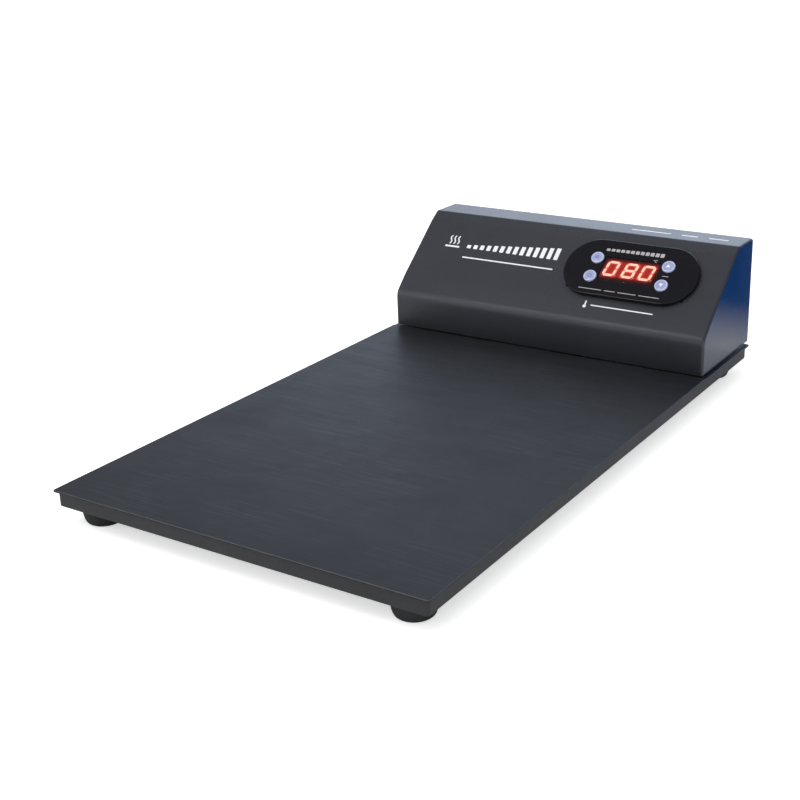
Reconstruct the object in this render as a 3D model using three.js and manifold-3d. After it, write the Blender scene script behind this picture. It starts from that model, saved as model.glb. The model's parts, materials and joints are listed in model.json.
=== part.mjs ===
// Digital hot plate: a flat heating plate on a shallow tray, with a wedge-shaped control housing
// at the back. Millimetres, +Z up, origin on the floor under the middle of the overall footprint.
// The operator's side is -Y and the control housing is at +Y. Sizes are laid out from the middle
// of the plate, and FOOTPRINT_SHIFT moves the whole group. Each mesh is one physical piece.
import * as THREE from 'three';
import { mergeVertices } from 'three/addons/utils/BufferGeometryUtils.js';
import Module from 'manifold-3d';

const wasm = await Module();
wasm.setup();
const { degToRad } = THREE.MathUtils;

// ---------------------------------------------------------------- driving dimensions
const GAP = 0.3; // running gap between neighbouring pieces
const SHANK_R = 1.5; // every screw
const SCREW_HOLE_R = 1.85;
const FOOTPRINT_SHIFT = -3.64;

const PLATE_W = 190;
const PLATE_L = 320;
const PLATE_TOP = 16;
const PLATE_Z0 = PLATE_TOP - 2;
const RIM_T = 1; // the plate is rebated underneath, so only this much shows at its edge

const TRAY_INSET = 1.3; // from the plate's edge
const TRAY_W = PLATE_W - 2 * TRAY_INSET;
const TRAY_L = PLATE_L - 2 * TRAY_INSET;
const TRAY_T = 1.2;
const TRAY_INNER_W = TRAY_W - 2 * TRAY_T;
const TRAY_INNER_L = TRAY_L - 2 * TRAY_T;
const TRAY_Z0 = 8.8;
const TRAY_FLOOR = TRAY_Z0 + TRAY_T;

const HOUSE_HALF = 93;
const HOUSE_Y0 = 98;
const HOUSE_Y1 = 162;
const HOUSE_Z0 = 16.8;
const HOUSE_TOP = 73.7;
const SHEET = 1.2;
const REAR_Y0 = HOUSE_Y1 - SHEET; // inner face of the rear panel
const FLOOR_Z0 = 19; // chassis floor
const FLOOR_Z1 = FLOOR_Z0 + SHEET;

const SLOPE_DEG = 40;
const SLOPE_LEN = 40; // flat middle of the sloping front
const SLOPE_START = [106.58, 43.96]; // [y, z] of that flat's lower edge

const NECK_W = 66.4; // part of the bezel that passes through the cover
const NECK_H = 26.4;

const INLET_X = -50;
const INLET_Z = 44;
const INLET_HALF = 14;
const SWITCH_X = -8;
const SWITCH_Z = 44;
const GROMMET_AT = [0, 132];
const EARTH_AT = [-84, 130];

// Four places mirrored in x, each with its name and its position in the plane it lies in.
const fourPlaces = ([near, far], x, [nearAt, farAt]) => [
  { where: `${near}_left`, at: [-x, nearAt] },
  { where: `${near}_right`, at: [x, nearAt] },
  { where: `${far}_left`, at: [-x, farAt] },
  { where: `${far}_right`, at: [x, farAt] },
];
const FEET = fourPlaces(['front', 'rear'], 79.5, [-146.3, 146.3]); // [x, y]
const HOUSING_FIXINGS = fourPlaces(['front', 'rear'], 66, [108, 151]); // [x, y]
const REAR_SCREWS = fourPlaces(['lower', 'upper'], 87.7, [30, 64]); // [x, z]
const INLET_SCREWS = [
  { where: 'left', at: [INLET_X - 20, INLET_Z] },
  { where: 'right', at: [INLET_X + 20, INLET_Z] },
];

// ---------------------------------------------------------------- finishes
const FINISH = {
  plate: { color: 0x34363a, roughness: 0.35, metalness: 0.4 },
  heaterMat: { color: 0xb4502c, roughness: 0.7 },
  blanket: { color: 0xe6e2d6, roughness: 0.95 },
  tray: { color: 0x2e3034, roughness: 0.45, metalness: 0.2 },
  foot: { color: 0x26272a, roughness: 0.85 },
  steel: { color: 0xb9bcc0, roughness: 0.32, metalness: 0.9 },
  cover: { color: 0x2b2c30, roughness: 0.42, metalness: 0.1 },
  chassis: { color: 0x2b2c30, roughness: 0.5, metalness: 0.1 },
  spacer: { color: 0xc9a56a, roughness: 0.6 },
  darkScrew: { color: 0x3a3b3e, roughness: 0.4, metalness: 0.8 },
  bezel: { color: 0x1c1c22, roughness: 0.22 },
  window: { color: 0x4a1410, roughness: 0.1, transparent: true, opacity: 0.6 },
  display: { color: 0x30100e, roughness: 0.4 },
  circuitBoard: { color: 0x1d5a34, roughness: 0.5 },
  button: { color: 0xaeb6dc, roughness: 0.3, metalness: 0.2 },
  moduleCase: { color: 0x1f2023, roughness: 0.6 },
  relay: { color: 0x2355a8, roughness: 0.45 },
  transformer: { color: 0xd9b23c, roughness: 0.5 },
  terminals: { color: 0x2f8f4e, roughness: 0.5 },
  inlet: { color: 0x1d1e20, roughness: 0.5 },
  pin: { color: 0xd8d3c4, roughness: 0.25, metalness: 0.95 },
  fuseDrawer: { color: 0x26272a, roughness: 0.5 },
  fuse: { color: 0xcfd6da, roughness: 0.2, metalness: 0.3 },
  switchFrame: { color: 0x17181a, roughness: 0.45 },
  rocker: { color: 0xa3211d, roughness: 0.35 },
  probe: { color: 0xb9bcc0, roughness: 0.3, metalness: 0.9 },
  cutout: { color: 0x2a2a2c, roughness: 0.5 },
  grommet: { color: 0x1b1b1d, roughness: 0.85 },
  heaterCable: { color: 0xb23a2a, roughness: 0.6 },
  sensorCable: { color: 0x303236, roughness: 0.6 },
  brownWire: { color: 0x6b3b1e, roughness: 0.55 },
  blueWire: { color: 0x2a5cb0, roughness: 0.55 },
  greenWire: { color: 0x4f9a3a, roughness: 0.55 },
  brass: { color: 0xd0b060, roughness: 0.35, metalness: 0.9 },
};

// ---------------------------------------------------------------- solids
// Manifold from a closed geometry: shared vertices, no collapsed faces, facing out.
function solid(source) {
  source.deleteAttribute('normal');
  source.deleteAttribute('uv');
  const merged = mergeVertices(source, 1e-4);
  const positions = merged.attributes.position.array;
  const index = merged.index.array;
  const corner = (i) => new THREE.Vector3().fromArray(positions, i * 3);
  const faces = [];
  let volume = 0;
  for (let i = 0; i < index.length; i += 3) {
    const [a, b, c] = index.slice(i, i + 3);
    if (a === b || b === c || a === c) continue;
    faces.push([a, b, c]);
    volume += corner(a).dot(corner(b).cross(corner(c)));
  }
  const outward = volume < 0 ? faces.map(([a, b, c]) => [a, c, b]) : faces;
  return new wasm.Manifold(new wasm.Mesh({
    numProp: 3,
    vertProperties: new Float32Array(positions),
    triVerts: new Uint32Array(outward.flat()),
  }));
}

const join = (...bodies) => bodies.reduce((whole, part) => whole.add(part));
const cut = (body, ...tools) => tools.reduce((rest, tool) => rest.subtract(tool), body);

// A span is [from, to]; about() gives the one centred on a point.
const about = (middle, half) => [middle - half, middle + half];

const box = ([x0, x1], [y0, y1], [z0, z1]) => solid(
  new THREE.BoxGeometry(x1 - x0, y1 - y0, z1 - z0)
    .translate((x0 + x1) / 2, (y0 + y1) / 2, (z0 + z1) / 2),
);

// Cylinders standing along Z, and lying along Y and X.
const cylinder = (radius, [from, to], segments) =>
  new THREE.CylinderGeometry(radius, radius, to - from, segments)
    .translate(0, (from + to) / 2, 0);
const rodZ = (radius, span, [x, y], segments) =>
  solid(cylinder(radius, span, segments).rotateX(Math.PI / 2).translate(x, y, 0));
const rodY = (radius, span, [x, z], segments) =>
  solid(cylinder(radius, span, segments).translate(x, 0, z));
const rodX = (radius, [from, to], [y, z], segments) =>
  solid(cylinder(radius, [-to, -from], segments).rotateZ(Math.PI / 2).translate(0, y, z));

// Turned pieces about an axis along Z or Y; the profile is [radius, height along the axis].
const lathe = (profile, segments) =>
  new THREE.LatheGeometry(profile.map((point) => new THREE.Vector2(...point)), segments);
const turnedZ = (profile, [x, y], segments) =>
  solid(lathe(profile, segments).rotateX(Math.PI / 2).translate(x, y, 0));
const turnedY = (profile, [x, z], segments) => solid(lathe(profile, segments).translate(x, 0, z));

function extrusion(outline, [from, to]) {
  const shape = new THREE.Shape(outline.map((point) => new THREE.Vector2(...point)));
  return new THREE.ExtrudeGeometry(shape, { depth: to - from, bevelEnabled: false })
    .translate(0, 0, from);
}
const X_AXIS = new THREE.Vector3(1, 0, 0);
const Y_AXIS = new THREE.Vector3(0, 1, 0);
const Z_AXIS = new THREE.Vector3(0, 0, 1);
const YZ_TO_WORLD = new THREE.Matrix4().makeBasis(Y_AXIS, Z_AXIS, X_AXIS);
const XZ_TO_WORLD = new THREE.Matrix4().makeBasis(X_AXIS, Z_AXIS, Y_AXIS.clone().negate());
// Outlines in (x, y), (y, z) and (x, z), run along the remaining axis.
const prismZ = (outline, span) => solid(extrusion(outline, span));
const prismX = (outline, span) => solid(extrusion(outline, span).applyMatrix4(YZ_TO_WORLD));
const prismY = (outline, [y0, y1]) =>
  solid(extrusion(outline, [-y1, -y0]).applyMatrix4(XZ_TO_WORLD));

function roundedRect(width, height, radius, [cx, cy] = [0, 0], steps = 4) {
  const points = [];
  for (const [sx, sy, start] of [[1, 1, 0], [-1, 1, 90], [-1, -1, 180], [1, -1, 270]]) {
    for (let i = 0; i <= steps; i++) {
      const angle = degToRad(start + (90 * i) / steps);
      points.push([
        cx + sx * (width / 2 - radius) + radius * Math.cos(angle),
        cy + sy * (height / 2 - radius) + radius * Math.sin(angle),
      ]);
    }
  }
  // two corners meet in one point where the side is as long as two radii
  return points.filter(([x, y], i) => {
    const [nextX, nextY] = points[(i + 1) % points.length];
    return Math.hypot(x - nextX, y - nextY) > 1e-3;
  });
}

// Six-sided tube along a smooth path.
function tube(points, radius, steps) {
  const extrudePath = new THREE.CatmullRomCurve3(
    points.map((point) => new THREE.Vector3(...point)), false, 'centripetal');
  const ring = Array.from({ length: 6 }, (_, i) => {
    const angle = (2 * Math.PI * i) / 6;
    return new THREE.Vector2(radius * Math.cos(angle), radius * Math.sin(angle));
  });
  return solid(new THREE.ExtrudeGeometry(
    new THREE.Shape(ring), { steps, bevelEnabled: false, extrudePath }));
}

const holesZ = (radius, span, places, segments = 12) =>
  places.map(({ at }) => rodZ(radius, span, at, segments));
const holesY = (radius, span, places) => places.map(({ at }) => rodY(radius, span, at, 12));

// Screw profile from its tip to its crown; seat and rim are the head's lower and upper edges.
const screwProfile = ({ tip, seat, rim, top, headRadius, crownRadius }) => [
  [0, tip], [SHANK_R, tip], [SHANK_R, seat], [headRadius, seat],
  [headRadius, rim], [crownRadius, top], [0, top],
];

// Upright screw with a slot along X.
function slottedScrew({ at: [x, y], slotFloor, ...sizes }) {
  return cut(
    turnedZ(screwProfile({ ...sizes, rim: sizes.seat + 1.1 }), [x, y], 12),
    box(about(x, 1.7), about(y, 0.35), [slotFloor, sizes.top + 1]),
  );
}

// Cross-head screw lying along Y, its head at +Y.
function crossScrew([x, z], { seat, tip, headRadius }) {
  const profile = screwProfile({
    tip, seat, rim: seat + 0.8, top: seat + 1.6, headRadius, crownRadius: headRadius * 0.7,
  });
  const slotY = [seat + 0.7, seat + 3];
  return cut(
    turnedY(profile, [x, z], 12),
    box(about(x, 1.6), slotY, about(z, 0.35)),
    box(about(x, 0.35), slotY, about(z, 1.6)),
  );
}

// ---------------------------------------------------------------- groups and pieces
const hotPlate = new THREE.Group();
hotPlate.name = 'digital_hot_plate';
const plateAxes = new THREE.Group();
plateAxes.name = 'plate_axes';
plateAxes.position.y = FOOTPRINT_SHIFT;
hotPlate.add(plateAxes);

// Axes of the sloping panel, from the bezel's centre: x across, y up the slope, z out of it.
const slope = new THREE.Group();
function placeSlope() {
  const bezelAcross = 41.2;
  const bezelUp = 21.3; // up the slope from SLOPE_START
  const angle = degToRad(SLOPE_DEG);
  const up = new THREE.Vector3(0, Math.cos(angle), Math.sin(angle));
  const out = new THREE.Vector3().crossVectors(X_AXIS, up);
  slope.position.set(bezelAcross, ...SLOPE_START).addScaledVector(up, bezelUp);
  slope.quaternion.setFromRotationMatrix(new THREE.Matrix4().makeBasis(X_AXIS, up, out));
  slope.updateMatrix();
  plateAxes.add(slope);
}
placeSlope();

function piece(parent, name, finish, body) {
  const { vertProperties, triVerts } = body.getMesh();
  const indexed = new THREE.BufferGeometry();
  indexed.setAttribute('position', new THREE.BufferAttribute(new Float32Array(vertProperties), 3));
  indexed.setIndex(new THREE.BufferAttribute(new Uint32Array(triVerts), 1));
  const flat = indexed.toNonIndexed();
  flat.computeVertexNormals();
  const mesh = new THREE.Mesh(flat, new THREE.MeshStandardMaterial(finish));
  mesh.name = name;
  parent.add(mesh);
}

// ---------------------------------------------------------------- heating plate
function heatingPlate() {
  const seatY = 97.6; // shallow seat under the housing, behind the free heating surface
  const seatDrop = 0.3;
  const body = join(
    prismZ(roundedRect(PLATE_W, PLATE_L, 1.6), [PLATE_TOP - RIM_T, PLATE_TOP]),
    prismZ(roundedRect(TRAY_INNER_W - 2 * GAP, TRAY_INNER_L - 2 * GAP, 1),
      [PLATE_Z0, PLATE_TOP - RIM_T / 2]),
    // screw bosses over the feet
    ...holesZ(4.5, [TRAY_FLOOR + GAP, PLATE_Z0 + 0.5], FEET, 16),
  );
  return cut(body,
    ...holesZ(SCREW_HOLE_R, [0, PLATE_Z0 + 0.6], FEET),
    ...holesZ(SCREW_HOLE_R, [0, 20], HOUSING_FIXINGS),
    rodZ(7.1, [0, 20], GROMMET_AT, 16),
    box([-100, 100], [seatY, 170], [PLATE_TOP - seatDrop, 20]),
  );
}
piece(plateAxes, 'heating_plate', FINISH.plate, heatingPlate());

// Mat and blanket share one outline, [x, y], with a clearance notch for the probe.
const MAT_X = 78;
const MAT_Y0 = -128;
const MAT_Y1 = 92;
const MAT_Z0 = 12.2;
const NOTCH_X = 7;
const NOTCH_Y0 = 56;
const MAT_OUTLINE = [
  [-MAT_X, MAT_Y0], [MAT_X, MAT_Y0], [MAT_X, MAT_Y1], [NOTCH_X, MAT_Y1],
  [NOTCH_X, NOTCH_Y0], [-NOTCH_X, NOTCH_Y0], [-NOTCH_X, MAT_Y1], [-MAT_X, MAT_Y1],
];
piece(plateAxes, 'heater_mat', FINISH.heaterMat, prismZ(MAT_OUTLINE, [MAT_Z0, PLATE_Z0 - GAP]));
piece(plateAxes, 'insulation_blanket', FINISH.blanket, prismZ(MAT_OUTLINE, [8.0, MAT_Z0 - GAP]));

// ---------------------------------------------------------------- base tray and feet
// Shallow shell whose floor steps down to a deeper pan between the feet.
function baseTray() {
  const top = PLATE_TOP - RIM_T - GAP;
  const cornerR = 2;
  const panHalf = 83;
  const panY0 = -131;
  const panY1 = 134.4;
  const panZ0 = 6.3;
  const panCornerR = 5;
  const pan = (grow, radius) => roundedRect(
    2 * (panHalf + grow), panY1 - panY0 + 2 * grow, radius, [0, (panY0 + panY1) / 2]);
  return cut(
    join(
      prismZ(roundedRect(TRAY_W, TRAY_L, cornerR), [TRAY_Z0, top]),
      prismZ(pan(TRAY_T, panCornerR), [panZ0, TRAY_Z0 + TRAY_T / 2]),
    ),
    prismZ(roundedRect(TRAY_INNER_W, TRAY_INNER_L, cornerR - TRAY_T), [TRAY_FLOOR, top + 1]),
    prismZ(pan(0, panCornerR - TRAY_T), [panZ0 + TRAY_T, TRAY_FLOOR + TRAY_T]),
    ...holesZ(2.1, [0, TRAY_FLOOR + 0.5], FEET),
  );
}
piece(plateAxes, 'base_tray', FINISH.tray, baseTray());

// Tapered rubber foot with a rounded rim and a screw pocket underneath.
function foot(at) {
  const top = TRAY_Z0 - GAP;
  const profile = [[0, 0], [6.8, 0], [7.9, 0.6], [8.6, 1.9], [9.2, 5.0], [9.9, top], [0, top]];
  return cut(turnedZ(profile, at, 24), rodZ(4.1, [-1, 2.4], at, 16), rodZ(2.1, [-1, 12], at, 12));
}

// Screw driven from below, with a slot along X.
function footScrew([x, y]) {
  const profile = [
    [0, 0.7], [2.6, 0.7], [3.4, 1.5], [3.4, 2.1], [SHANK_R, 2.1], [SHANK_R, 13.2], [0, 13.2],
  ];
  return cut(turnedZ(profile, [x, y], 12), box(about(x, 2), about(y, 0.4), [0, 1.4]));
}

for (const { where, at } of FEET) {
  piece(plateAxes, `foot_${where}`, FINISH.foot, foot(at));
  piece(plateAxes, `foot_screw_${where}`, FINISH.steel, footScrew(at));
}

// ---------------------------------------------------------------- housing
// Front of the housing as [y, z], lowest point first, moved inwards by inset.
function frontProfile(inset) {
  const lowDeg = 44.5; // steeper facet below the flat
  const highDeg = 34.5; // shallower facet above it
  const lowLength = 7;
  const bendR = 12; // bend between the upright front and the lower facet
  const bendSteps = 5;
  const tangent = bendR * Math.tan(degToRad(90 - lowDeg) / 2);
  const bendY = HOUSE_Y0 + bendR;
  const bendZ = SLOPE_START[1] - (lowLength + tangent) * Math.sin(degToRad(lowDeg)) - tangent;

  const points = [[HOUSE_Y0 + inset, HOUSE_Z0]];
  for (let i = 0; i <= bendSteps; i++) {
    const angle = degToRad(180 - ((90 - lowDeg) * i) / bendSteps);
    const radius = bendR - inset;
    points.push([bendY + radius * Math.cos(angle), bendZ + radius * Math.sin(angle)]);
  }
  // corner between two facets, moved so that both facets shift by the inset
  const insetCorner = ([y, z], lower, upper) => {
    if (inset === 0) return [y, z];
    const normal = (deg) => [inset * Math.sin(degToRad(deg)), -inset * Math.cos(degToRad(deg))];
    const a = normal(lower);
    const b = normal(upper);
    const sum = [a[0] + b[0], a[1] + b[1]];
    const scale = (inset * inset) / (sum[0] * a[0] + sum[1] * a[1]);
    return [y + sum[0] * scale, z + sum[1] * scale];
  };
  const slopeEnd = [
    SLOPE_START[0] + SLOPE_LEN * Math.cos(degToRad(SLOPE_DEG)),
    SLOPE_START[1] + SLOPE_LEN * Math.sin(degToRad(SLOPE_DEG)),
  ];
  const [endY, endZ] = insetCorner(slopeEnd, SLOPE_DEG, highDeg);
  const top = HOUSE_TOP - inset;
  points.push(insetCorner(SLOPE_START, lowDeg, SLOPE_DEG), [endY, endZ]);
  points.push([endY + (top - endZ) / Math.tan(degToRad(highDeg)), top]);
  return points;
}

// Bent sheet, open below and behind, with the bezel opening in its slope.
function housingCover() {
  const outer = [...frontProfile(0), [HOUSE_Y1, HOUSE_TOP], [HOUSE_Y1, HOUSE_Z0]];
  const [[innerY], ...innerFront] = frontProfile(SHEET);
  const inner = [
    [innerY, HOUSE_Z0 - 2], ...innerFront,
    [HOUSE_Y1 + 2, HOUSE_TOP - SHEET], [HOUSE_Y1 + 2, HOUSE_Z0 - 2],
  ];
  // rear lips that the rear screws bite into
  const lipInner = 83.6;
  const lipOuter = HOUSE_HALF - 0.6;
  const lip = (spanX) =>
    box(spanX, [REAR_Y0 - GAP - SHEET, REAR_Y0 - GAP], [22, HOUSE_TOP - 0.6]);
  const shell = cut(
    prismX(outer, about(0, HOUSE_HALF)),
    prismX(inner, about(0, HOUSE_HALF - SHEET)),
  );
  const opening = box(about(0, NECK_W / 2 + GAP), about(0, NECK_H / 2 + GAP), [-6, 4]);
  return cut(
    join(shell, lip([-lipOuter, -lipInner]), lip([lipInner, lipOuter])),
    opening.transform(slope.matrix.toArray()),
    ...holesY(SCREW_HOLE_R, [150, 165], REAR_SCREWS),
  );
}
piece(plateAxes, 'housing_cover', FINISH.cover, housingCover());

// Floor and rear panel, joined by a strip that runs between the cover's lips.
function housingChassis() {
  const half = 91.4;
  const floorZ = [FLOOR_Z0, FLOOR_Z1];
  const throughY = [155, 165];
  const throughZ = [15, 25];
  const inletHole = INLET_HALF + GAP;
  return cut(
    join(
      box(about(0, half), [HOUSE_Y0 + SHEET + GAP, 158.6], floorZ),
      box(about(0, 83.2), [158, HOUSE_Y1 - 0.6], floorZ),
      box(about(0, half), [REAR_Y0, HOUSE_Y1], [FLOOR_Z0, HOUSE_TOP - SHEET - GAP]),
    ),
    ...holesZ(SCREW_HOLE_R, throughZ, HOUSING_FIXINGS),
    ...holesY(SCREW_HOLE_R, throughY, REAR_SCREWS),
    rodZ(10, throughZ, GROMMET_AT, 16),
    box(about(INLET_X, inletHole), throughY, about(INLET_Z, inletHole)),
    ...holesY(SCREW_HOLE_R, throughY, INLET_SCREWS),
    box(about(SWITCH_X, 6.9), throughY, about(SWITCH_Z, 9.7)),
    rodZ(SCREW_HOLE_R, throughZ, EARTH_AT, 12),
  );
}
piece(plateAxes, 'housing_chassis', FINISH.chassis, housingChassis());

for (const { where, at } of HOUSING_FIXINGS) {
  piece(plateAxes, `housing_spacer_${where}`, FINISH.spacer, cut(
    rodZ(5, [PLATE_TOP + GAP, FLOOR_Z0 - GAP], at, 16),
    rodZ(SCREW_HOLE_R, [10, 25], at, 10),
  ));
  piece(plateAxes, `housing_screw_${where}`, FINISH.steel, slottedScrew({
    at, tip: 12.6, seat: FLOOR_Z1 + GAP, top: 22.3,
    headRadius: 2.8, crownRadius: 2.2, slotFloor: 21.5,
  }));
}
for (const { where, at } of REAR_SCREWS) {
  piece(plateAxes, `rear_screw_${where}`, FINISH.darkScrew,
    crossScrew(at, { seat: HOUSE_Y1 + GAP, tip: 155.5, headRadius: 2.8 }));
}

// ---------------------------------------------------------------- thermostat, in slope axes
const WINDOW_AT = [-0.5, -0.5];
const WINDOW_W = 30;
const WINDOW_H = 13.6;
const BUTTON_R = 3.75;
const BUTTON_Y = -0.6; // middle of each pair
const BUTTON_DY = 6;
const BUTTONS = [['left', -20.9], ['right', 20.0]].flatMap(([side, x]) => [
  { where: `upper_${side}`, at: [x, BUTTON_Y + BUTTON_DY] },
  { where: `lower_${side}`, at: [x, BUTTON_Y - BUTTON_DY] },
]);

// Stadium-shaped face with a stepped edge, on a hollow neck through the cover.
function thermostatBezel() {
  const width = 76.4;
  const height = 36;
  const step = 0.5;
  const wall = 1.5;
  const stadium = (inset) => roundedRect(
    width - 2 * inset, height - 2 * inset, height / 2 - inset, [0, 0], 9);
  return cut(
    join(
      prismZ(stadium(0), [GAP, 1.9]),
      prismZ(stadium(step), [1.8, 2.6]),
      prismZ(roundedRect(NECK_W, NECK_H, 1), [-4, 1]),
    ),
    box(about(0, NECK_W / 2 - wall), about(0, NECK_H / 2 - wall), [-6, 1.2]),
    prismZ(roundedRect(WINDOW_W + 2 * GAP, WINDOW_H + 2 * GAP, 1, WINDOW_AT), [-6, 6]),
    ...holesZ(BUTTON_R + 0.35, [-6, 6], BUTTONS, 20),
  );
}
piece(slope, 'thermostat_bezel', FINISH.bezel, thermostatBezel());
piece(slope, 'display_window', FINISH.window,
  prismZ(roundedRect(WINDOW_W, WINDOW_H, 0.7, WINDOW_AT), [1.1, 2.35]));
piece(slope, 'led_display', FINISH.display,
  box(about(WINDOW_AT[0], 14), about(WINDOW_AT[1], 6.4), [-5.0, 0.8]));

const circuitBoard = (bottom) => box(about(0, 30.5), about(0, 11.2), [bottom, bottom + 1.6]);
// Each button has a square switch with a round plunger under it.
const pushSwitches = BUTTONS.flatMap(({ at }) => [
  box(about(at[0], 3), about(at[1], 3), [-5.5, -2.6]),
  rodZ(1.7, [-2.8, -2.1], at, 8),
]);
piece(slope, 'display_board', FINISH.circuitBoard, join(circuitBoard(-6.9), ...pushSwitches));

// Dished button, [radius, z]: stem, retaining flange, raised rim and raised middle.
const BUTTON_PROFILE = [
  [0, -1.2], [1.2, -1.2], [1.2, 0.0], [4.7, 0.0], [4.7, 0.8], [BUTTON_R, 0.8],
  [BUTTON_R, 3.0], [3.2, 3.45], [2.5, 3.15], [1.8, 3.5], [0, 3.5],
];
for (const { where, at } of BUTTONS) {
  piece(slope, `button_${where}`, FINISH.button, turnedZ(BUTTON_PROFILE, at, 16));
}

// Box open towards the bezel, with an opening in its back for the terminals.
function thermostatCase() {
  const back = -26;
  const wall = 1.6;
  return cut(
    box(about(0, NECK_W / 2), about(0, NECK_H / 2), [back, -4 - GAP]),
    box(about(0, NECK_W / 2 - wall), about(0, NECK_H / 2 - wall), [back + wall, -2]),
    box([-21, 21], [-6, 6], [back - 2, back + 4]),
  );
}
piece(slope, 'thermostat_case', FINISH.moduleCase, thermostatCase());
piece(slope, 'power_board', FINISH.circuitBoard, circuitBoard(-22.4));
piece(slope, 'relay', FINISH.relay, box([-28, -9], [-8, 8], [-20.5, -8.2]));
piece(slope, 'transformer', FINISH.transformer, join(
  box([0, 22], [-9.5, 9.5], [-20.5, -18.5]),
  box([2, 20], [-7, 7], [-19, -8.5]),
));
piece(slope, 'terminal_block', FINISH.terminals, box([-19, 19], [-5, 5], [-31.5, -22.7]));

// ---------------------------------------------------------------- mains inlet with fuse drawer
const FLANGE_Y1 = 164.6;
const PINS = [ // x, z and the y of the outer end
  { name: 'line', x: INLET_X + 7, z: 38, end: 160.5 },
  { name: 'neutral', x: INLET_X - 7, z: 38, end: 160.5 },
  { name: 'earth', x: INLET_X, z: 42, end: 161.5 },
];

function inletBody() {
  const wellHalf = 12.3;
  // socket well, [x from the middle, z], with two cut corners on the earth side
  const well = [
    [-wellHalf, 31.6], [wellHalf, 31.6], [wellHalf, 43.2],
    [7.6, 48.2], [-7.6, 48.2], [-wellHalf, 43.2],
  ].map(([x, z]) => [INLET_X + x, z]);
  return cut(
    join(
      prismY(roundedRect(48, 32, 3, [INLET_X, INLET_Z]), [HOUSE_Y1 + GAP, FLANGE_Y1]),
      box(about(INLET_X, INLET_HALF), [141, 163], about(INLET_Z, INLET_HALF)),
    ),
    prismY(well, [148, 166]),
    box(about(INLET_X, wellHalf), [145.5, 166], [49.8, 57.2]), // drawer well
    ...PINS.map(({ x, z }) => box(about(x, 1 + GAP), [138, 150], about(z, 2 + GAP))),
    ...holesY(SCREW_HOLE_R, [155, 170], INLET_SCREWS),
  );
}
piece(plateAxes, 'inlet_body', FINISH.inlet, inletBody());
for (const { name, x, z, end } of PINS) {
  piece(plateAxes, `inlet_pin_${name}`, FINISH.pin, box(about(x, 1), [136, end], about(z, 2)));
}
piece(plateAxes, 'fuse_drawer', FINISH.fuseDrawer, cut(
  join(
    box(about(INLET_X, 12), [146, 165.0], [50.1, 56.9]),
    box(about(INLET_X, 5), [164.9, 165.8], [52.2, 54.8]),
  ),
  box(about(INLET_X, 10.6), [149, 155.6], [50.8, 60]),
));
piece(plateAxes, 'fuse', FINISH.fuse, rodX(2.5, about(INLET_X, 10), [152.3, 53.6], 16));
for (const { where, at } of INLET_SCREWS) {
  piece(plateAxes, `inlet_screw_${where}`, FINISH.steel,
    crossScrew(at, { seat: FLANGE_Y1 + GAP, tip: 157, headRadius: 2.7 }));
}

// ---------------------------------------------------------------- power switch
const TAB_DZ = 3.9; // terminal tabs above and below the switch's middle
const UPPER_TAB_Z = SWITCH_Z + TAB_DZ;
const LOWER_TAB_Z = SWITCH_Z - TAB_DZ;

function switchFrame() {
  const tab = (z) => box(about(SWITCH_X, 2.4), [141, 149], about(z, 0.4));
  return cut(
    join(
      prismY(roundedRect(15, 21, 1.2, [SWITCH_X, SWITCH_Z]), [HOUSE_Y1 + GAP, 164.3]),
      box(about(SWITCH_X, 6.6), [148, 163], about(SWITCH_Z, 9.4)),
      tab(UPPER_TAB_Z),
      tab(LOWER_TAB_Z),
    ),
    box(about(SWITCH_X, 5.6), [154, 166], about(SWITCH_Z, 9.1)),
  );
}
piece(plateAxes, 'switch_frame', FINISH.switchFrame, switchFrame());

const rockerAxes = new THREE.Group();
rockerAxes.position.set(0, 160.5, SWITCH_Z);
rockerAxes.rotation.x = degToRad(9); // on: upper half pressed in
plateAxes.add(rockerAxes);
// [y, z] from the pivot
const ROCKER_OUTLINE = [
  [3.7, 0], [4.2, 3], [5.6, 8], [-2.4, 8], [-4.4, 4.4],
  [-5.2, 0], [-4.4, -4.4], [-2.4, -8], [5.6, -8], [4.2, -3],
];
piece(rockerAxes, 'switch_rocker', FINISH.rocker, prismX(ROCKER_OUTLINE, about(SWITCH_X, 5.2)));

// ---------------------------------------------------------------- sensing and protection
piece(plateAxes, 'temperature_probe', FINISH.probe, join(
  rodY(2.2, [60, 84], [0, 11.2], 14),
  rodY(1.4, [83, 87.5], [0, 11.2], 10),
));
piece(plateAxes, 'thermal_cutout', FINISH.cutout, turnedZ([
  [0, 8.2], [6.2, 8.2], [6.2, 11.6], [8.2, 11.6], [8.2, 13.7], [0, 13.7],
], [34, 112], 14));
piece(plateAxes, 'cable_grommet', FINISH.grommet, cut(
  turnedZ([
    [0, 12.3], [8.8, 12.3], [8.8, 13.7], [6.7, 13.7],
    [6.7, 16.3], [8.8, 16.3], [8.8, 17.7], [0, 17.7],
  ], GROMMET_AT, 16),
  rodZ(4.7, [10, 20], GROMMET_AT, 14),
));

// ---------------------------------------------------------------- wiring
// Last two points of a wire: behind the module at the given depth, then at its rear terminals.
const toTerminal = (across, depth) => [depth, -31.9].map(
  (z) => new THREE.Vector3(across, 0, z).applyMatrix4(slope.matrix).toArray());

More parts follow.
